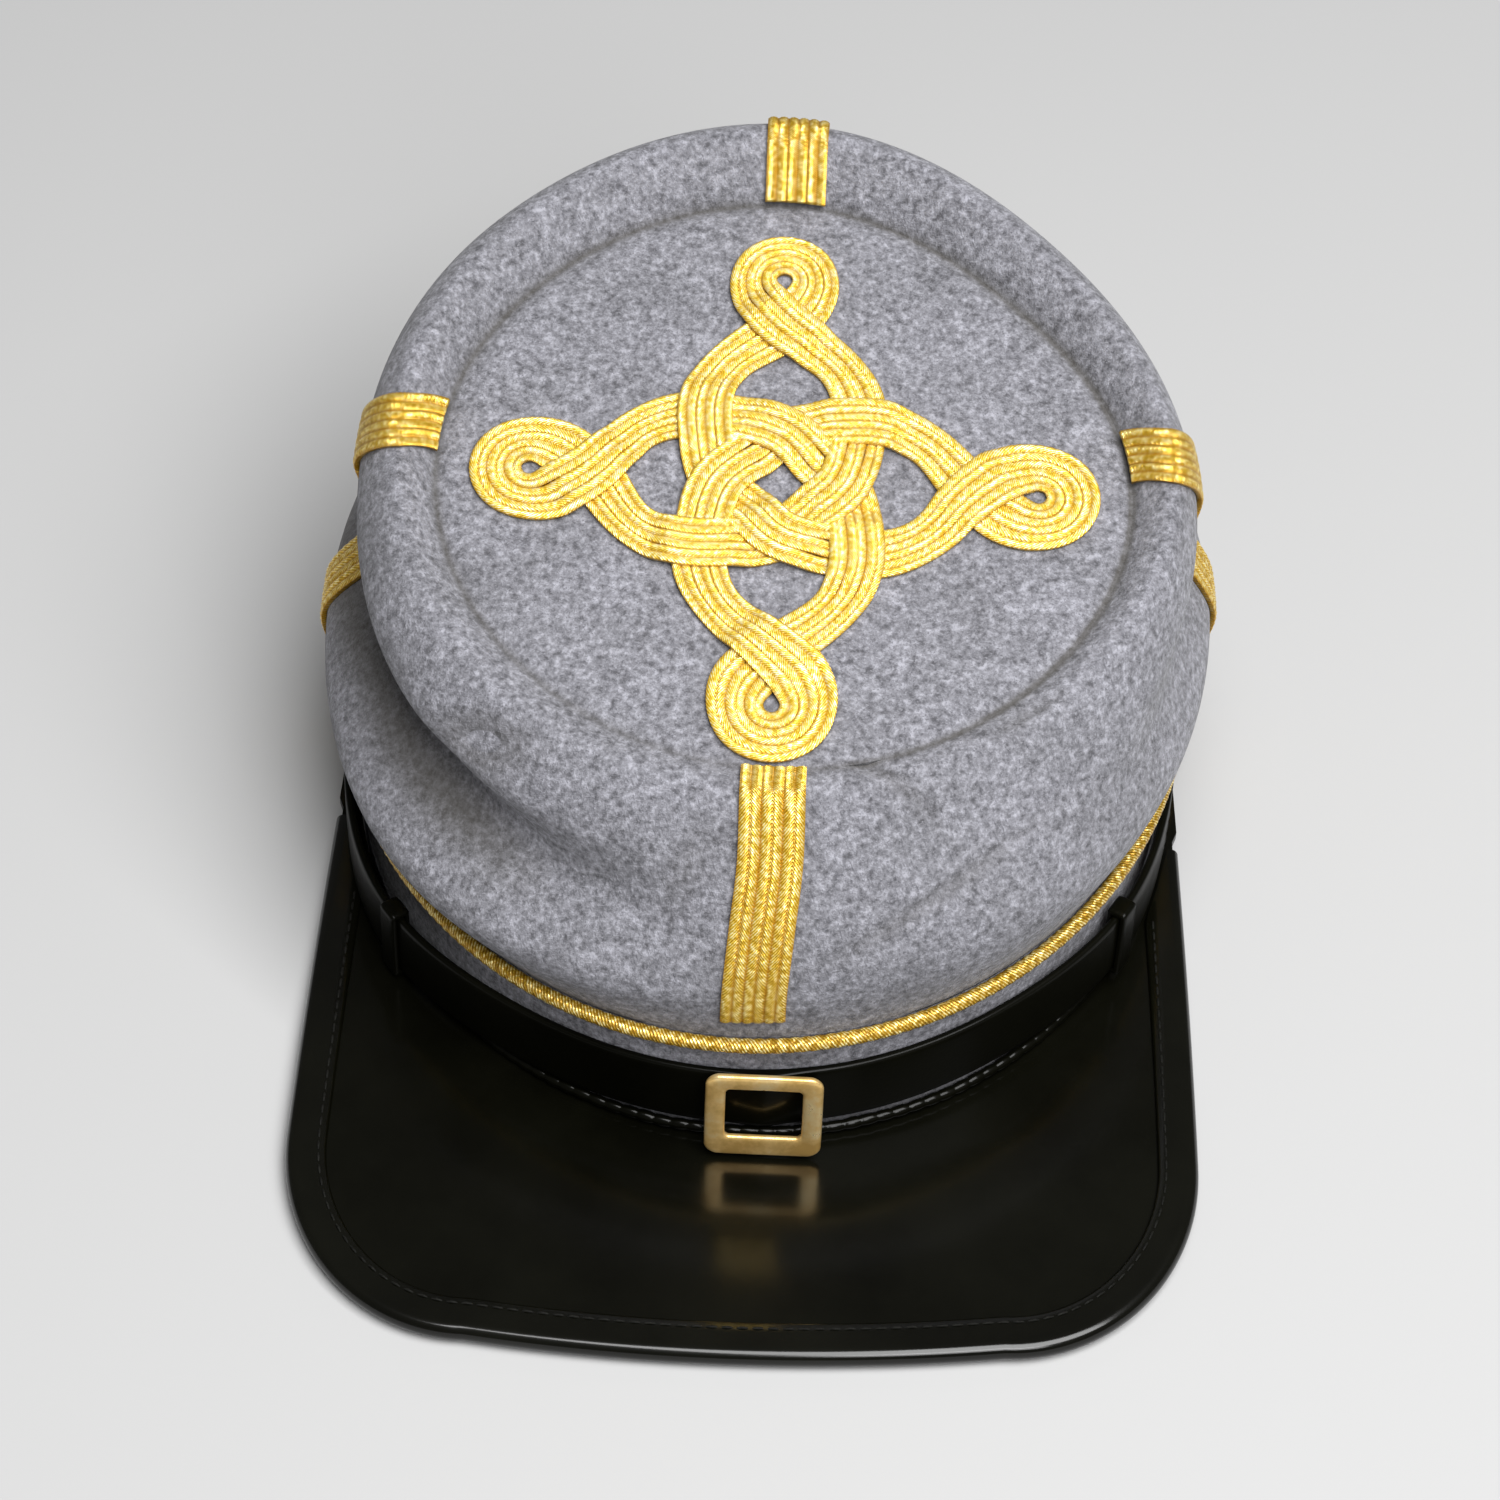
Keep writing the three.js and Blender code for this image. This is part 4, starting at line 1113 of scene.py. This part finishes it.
def knot_controls():
    """Control points of the knot's one closed line and, for each, its width."""
    controls = []
    for turn, neck_place, middle, radius in KNOT_ARMS:
        outgoing = [(-across, along, width) for across, along, width in ARM_SIDE]
        neck = [(0, neck_place, KNOT_NECK_WIDTH)]
        loop = []
        for ring_angle in RING_ANGLES:
            outward, sideways = turned(ring_angle)
            reach = radius * (1 + KNOT_LOOP_SWELL * max(0, abs(ring_angle) - 90) / 45)
            ring = (reach + KNOT_EYE_RADIUS) / 2
            loop.append((ring * sideways, middle + ring * outward, reach - KNOT_EYE_RADIUS))
        c, s = turned(turn)
        for across, along, width in outgoing + neck + loop + neck + ARM_SIDE[:0:-1]:
            controls.append((across * c - along * s, across * s + along * c, width))
    return np.array(controls, float)


def line_crossings(line):
    """Pairs of places where a closed flat line crosses itself, as fractional indices."""
    count = len(line)
    step = np.roll(line, -1, axis=0) - line
    found = []
    for i in range(count):
        others = np.arange(i + 2, count if i > 0 else count - 1)
        apart = line[others] - line[i]
        turn = step[i, 0] * step[others, 1] - step[i, 1] * step[others, 0]
        turn = np.where(np.abs(turn) < 1e-9, 1e-9, turn)
        here = (apart[:, 0] * step[others, 1] - apart[:, 1] * step[others, 0]) / turn
        there = (apart[:, 0] * step[i, 1] - apart[:, 1] * step[i, 0]) / turn
        hit = (here >= 0) & (here < 1) & (there >= 0) & (there < 1)
        found += [(i + here[k], others[k] + there[k]) for k in np.flatnonzero(hit)]
    return found


def knot_height(line, points, index):
    """Rise of each point of a strand where its pass lies over another pass of the line.

    Passes go over and under in turn along the line, and the pass that comes back
    from a loop lies over at its neck.
    """
    count = len(line)
    crossings = line_crossings(line)
    passes = sorted((place, number, k) for number, pair in enumerate(crossings)
                    for k, place in enumerate(pair))
    order = {(number, k): position for position, (_, number, k) in enumerate(passes)}
    first_loop = next(position for position in range(len(passes) - 1)
                      if passes[position][1] == passes[position + 1][1])
    parity = (first_loop + 1) % 2
    reach = int(CROSSING_REACH / np.linalg.norm(np.diff(line, axis=0), axis=1).mean())
    rise = np.zeros(len(points))
    for number, pair in enumerate(crossings):
        over = 0 if order[(number, 0)] % 2 == parity else 1
        near = np.abs((index - pair[over] + count / 2) % count - count / 2) < reach
        lower = line[(int(pair[1 - over]) + np.arange(-reach, reach + 1)) % count]
        apart = np.linalg.norm(points[near][:, None] - lower[None], axis=-1).min(axis=1)
        share = np.clip(1 - (apart - KNOT_WIDTH / 2) / CROSSING_FADE, 0, 1)
        share = share * share * (3 - 2 * share)
        rise[near] = np.maximum(rise[near], CROSSING_RISE * share)
    return rise


def smoothed(rows, spread):
    """Closed line of points evened out along itself."""
    reach = int(3 * spread)
    places = np.arange(-reach, reach + 1)
    weights = np.exp(-(places / spread) ** 2 / 2)
    weights /= weights.sum()
    return sum(weight * np.roll(rows, -place, axis=0) for weight, place in zip(weights, places))


def knot_strand_solid(controls, aside):
    """One of the three strands that run side by side through the knot."""
    steps_per_span = 48
    count = len(controls) * steps_per_span
    middle = smooth_line(controls, np.arange(count) / count, closed=True)
    along = lengths_along(middle[:, :2], closed=True)
    steps = int(along[-1] / STRAND_STEP)
    distance = np.arange(steps) * along[-1] / steps
    ring = np.concatenate([middle, middle[:1]])
    even = np.stack([np.interp(distance, along, ring[:, k]) for k in range(3)], axis=1)
    even = smoothed(even, LINE_SMOOTHING / STRAND_STEP)
    line = even[:, :2]
    narrow = even[:, 2] / KNOT_WIDTH
    direction = unit(np.roll(line, -1, axis=0) - np.roll(line, 1, axis=0))
    aside_direction = np.column_stack([direction[:, 1], -direction[:, 0]])
    centre = line + aside * narrow[:, None] * aside_direction
    height = knot_height(line, centre, np.arange(steps))
    across = SECTION[None, :, 0] * narrow[:, None] * KNOT_WIDTH / (3 * STRAND_WIDTH)
    flat = centre[:, None] + across[..., None] * aside_direction[:, None]
    raised = STRAND_CLEARANCE + height[:, None] + SECTION[None, :, 1] + thread_lumps(distance)
    loops = (disc_centre + flat[..., :1] * disc_across + (flat[..., 1:] + KNOT_CENTRE_Y) * disc_along
             + raised[..., None] * disc_normal)
    return sweep(loops, True, np.append(distance, along[-1]), SECTION_FLAT)


make_piece("wool_band", band_solid(), WOOL, ["band"])
make_piece("wool_crown_wall", crown_wall_solid(), WOOL, ["crown_wall"], SMOOTH_ROUND)
make_piece("wool_crown_disc", crown_disc_solid(), WOOL, ["crown_disc"], SMOOTH_ROUND)
make_piece("twisted_cord", cord_solid(), GOLD_CORD, ["seam_cord"], SMOOTH_ROUND)
make_piece("glossy_peak", peak_solid(), PEAK_LEATHER, ["peak"])
make_piece("stitched_binding", binding_solid(), BINDING_FINISH, ["peak_binding"])
make_piece("binding_thread", binding_stitches(), THREAD)
make_piece("rolled_welt", welt_solid(), WELT_LEATHER, ["peak_welt"], SMOOTH_ROUND)
make_piece("front_strap", strap_solid(), STRAP_LEATHER_FINISH, ["chin_strap"])
for node_name, keeper_angle in KEEPER_ANGLES.items():
    make_piece("loop_" + node_name, keeper_solid(keeper_angle), STRAP_LEATHER_FINISH, [node_name])
make_piece("brass_buckle", buckle_solid(), BRASS, ["buckle"], SMOOTH_ROUND)
make_piece("dome_right", button_solid(STRAP_END_ANGLE - 4), BRASS, ["button_right"])
make_piece("dome_left", button_solid(-180 - STRAP_END_ANGLE + 4), BRASS, ["button_left"])
for side_name, braid_row in BRAIDS.items():
    for number, place in enumerate((-1, 0, 1), 1):
        strand = wall_strand_solid(braid_row, place * STRAND_PITCH)
        braid_nodes = [f"braid_{side_name}_{number}"]
        make_piece(f"strand_{side_name}_{number}", strand, GOLD, braid_nodes, SMOOTH_ROUND)
knot_line = knot_controls()
for number, place in enumerate((-1, 0, 1), 1):
    strand = knot_strand_solid(knot_line, place * KNOT_WIDTH / 3)
    make_piece(f"knot_strand_{number}", strand, KNOT_GOLD, ["top_knot"], SMOOTH_ROUND)


def floor():
    """Pale plain floor."""
    half = 6.0
    mesh = bpy.data.meshes.new("floor")
    corners = [(-half, -half, 0), (half, -half, 0), (half, half, 0), (-half, half, 0)]
    mesh.from_pydata(corners, [], [(0, 1, 2, 3)])
    made = bpy.data.objects.new("floor", mesh)
    bpy.context.scene.collection.objects.link(made)
    s = Shader("pale_floor")
    s.set(Base_Color=(FLOOR_GREY, FLOOR_GREY, FLOOR_GREY, 1), Roughness=0.9)
    mesh.materials.append(s.material)


def soft_box(name, place, target, size, power):
    """Square area light facing a target, in metres."""
    light = bpy.data.lights.new(name, "AREA")
    light.shape = "RECTANGLE"
    light.size = size
    light.size_y = size
    light.energy = power
    made = bpy.data.objects.new(name, light)
    made.location = place
    made.rotation_mode = "QUATERNION"
    made.rotation_quaternion = (Vector(target) - Vector(place)).to_track_quat("-Z", "Y")
    bpy.context.scene.collection.objects.link(made)


def world():
    """Even pale surroundings, and colours shown as they are lit."""
    made = bpy.data.worlds.new("studio")
    made.use_nodes = True
    background = made.node_tree.nodes["Background"]
    background.inputs["Color"].default_value = (1.0, 1.0, 1.0, 1)
    background.inputs["Strength"].default_value = WORLD_STRENGTH
    bpy.context.scene.world = made
    bpy.context.scene.view_settings.view_transform = "Standard"


def camera():
    """Camera at the photograph's place, from its own fitted angles."""
    rotation = Matrix.Identity(4)
    for degrees, axis in ((VIEW_AZIMUTH, "Z"), (90 - VIEW_ELEVATION, "X"), (VIEW_ROLL, "Z")):
        rotation = rotation @ Matrix.Rotation(math.radians(degrees), 4, axis)
    back = np.array(rotation.col[2][:3])
    place = (np.array(VIEW_TARGET) + SHIFT + VIEW_DISTANCE * back) * MM
    data = bpy.data.cameras.new("camera")
    data.lens = VIEW_LENS
    data.sensor_width = 36.0
    made = bpy.data.objects.new("camera", data)
    made.matrix_world = Matrix.Translation(Vector(place)) @ rotation
    bpy.context.scene.collection.objects.link(made)
    bpy.context.scene.camera = made


floor()
world()
soft_box("key", place=(0.38, -0.48, 1.48), target=(0, 0, 0.08), size=1.2, power=47.5)
soft_box("front", place=(0.36, -1.10, 1.00), target=(0, -0.04, 0.05), size=0.5, power=6.5)
camera()
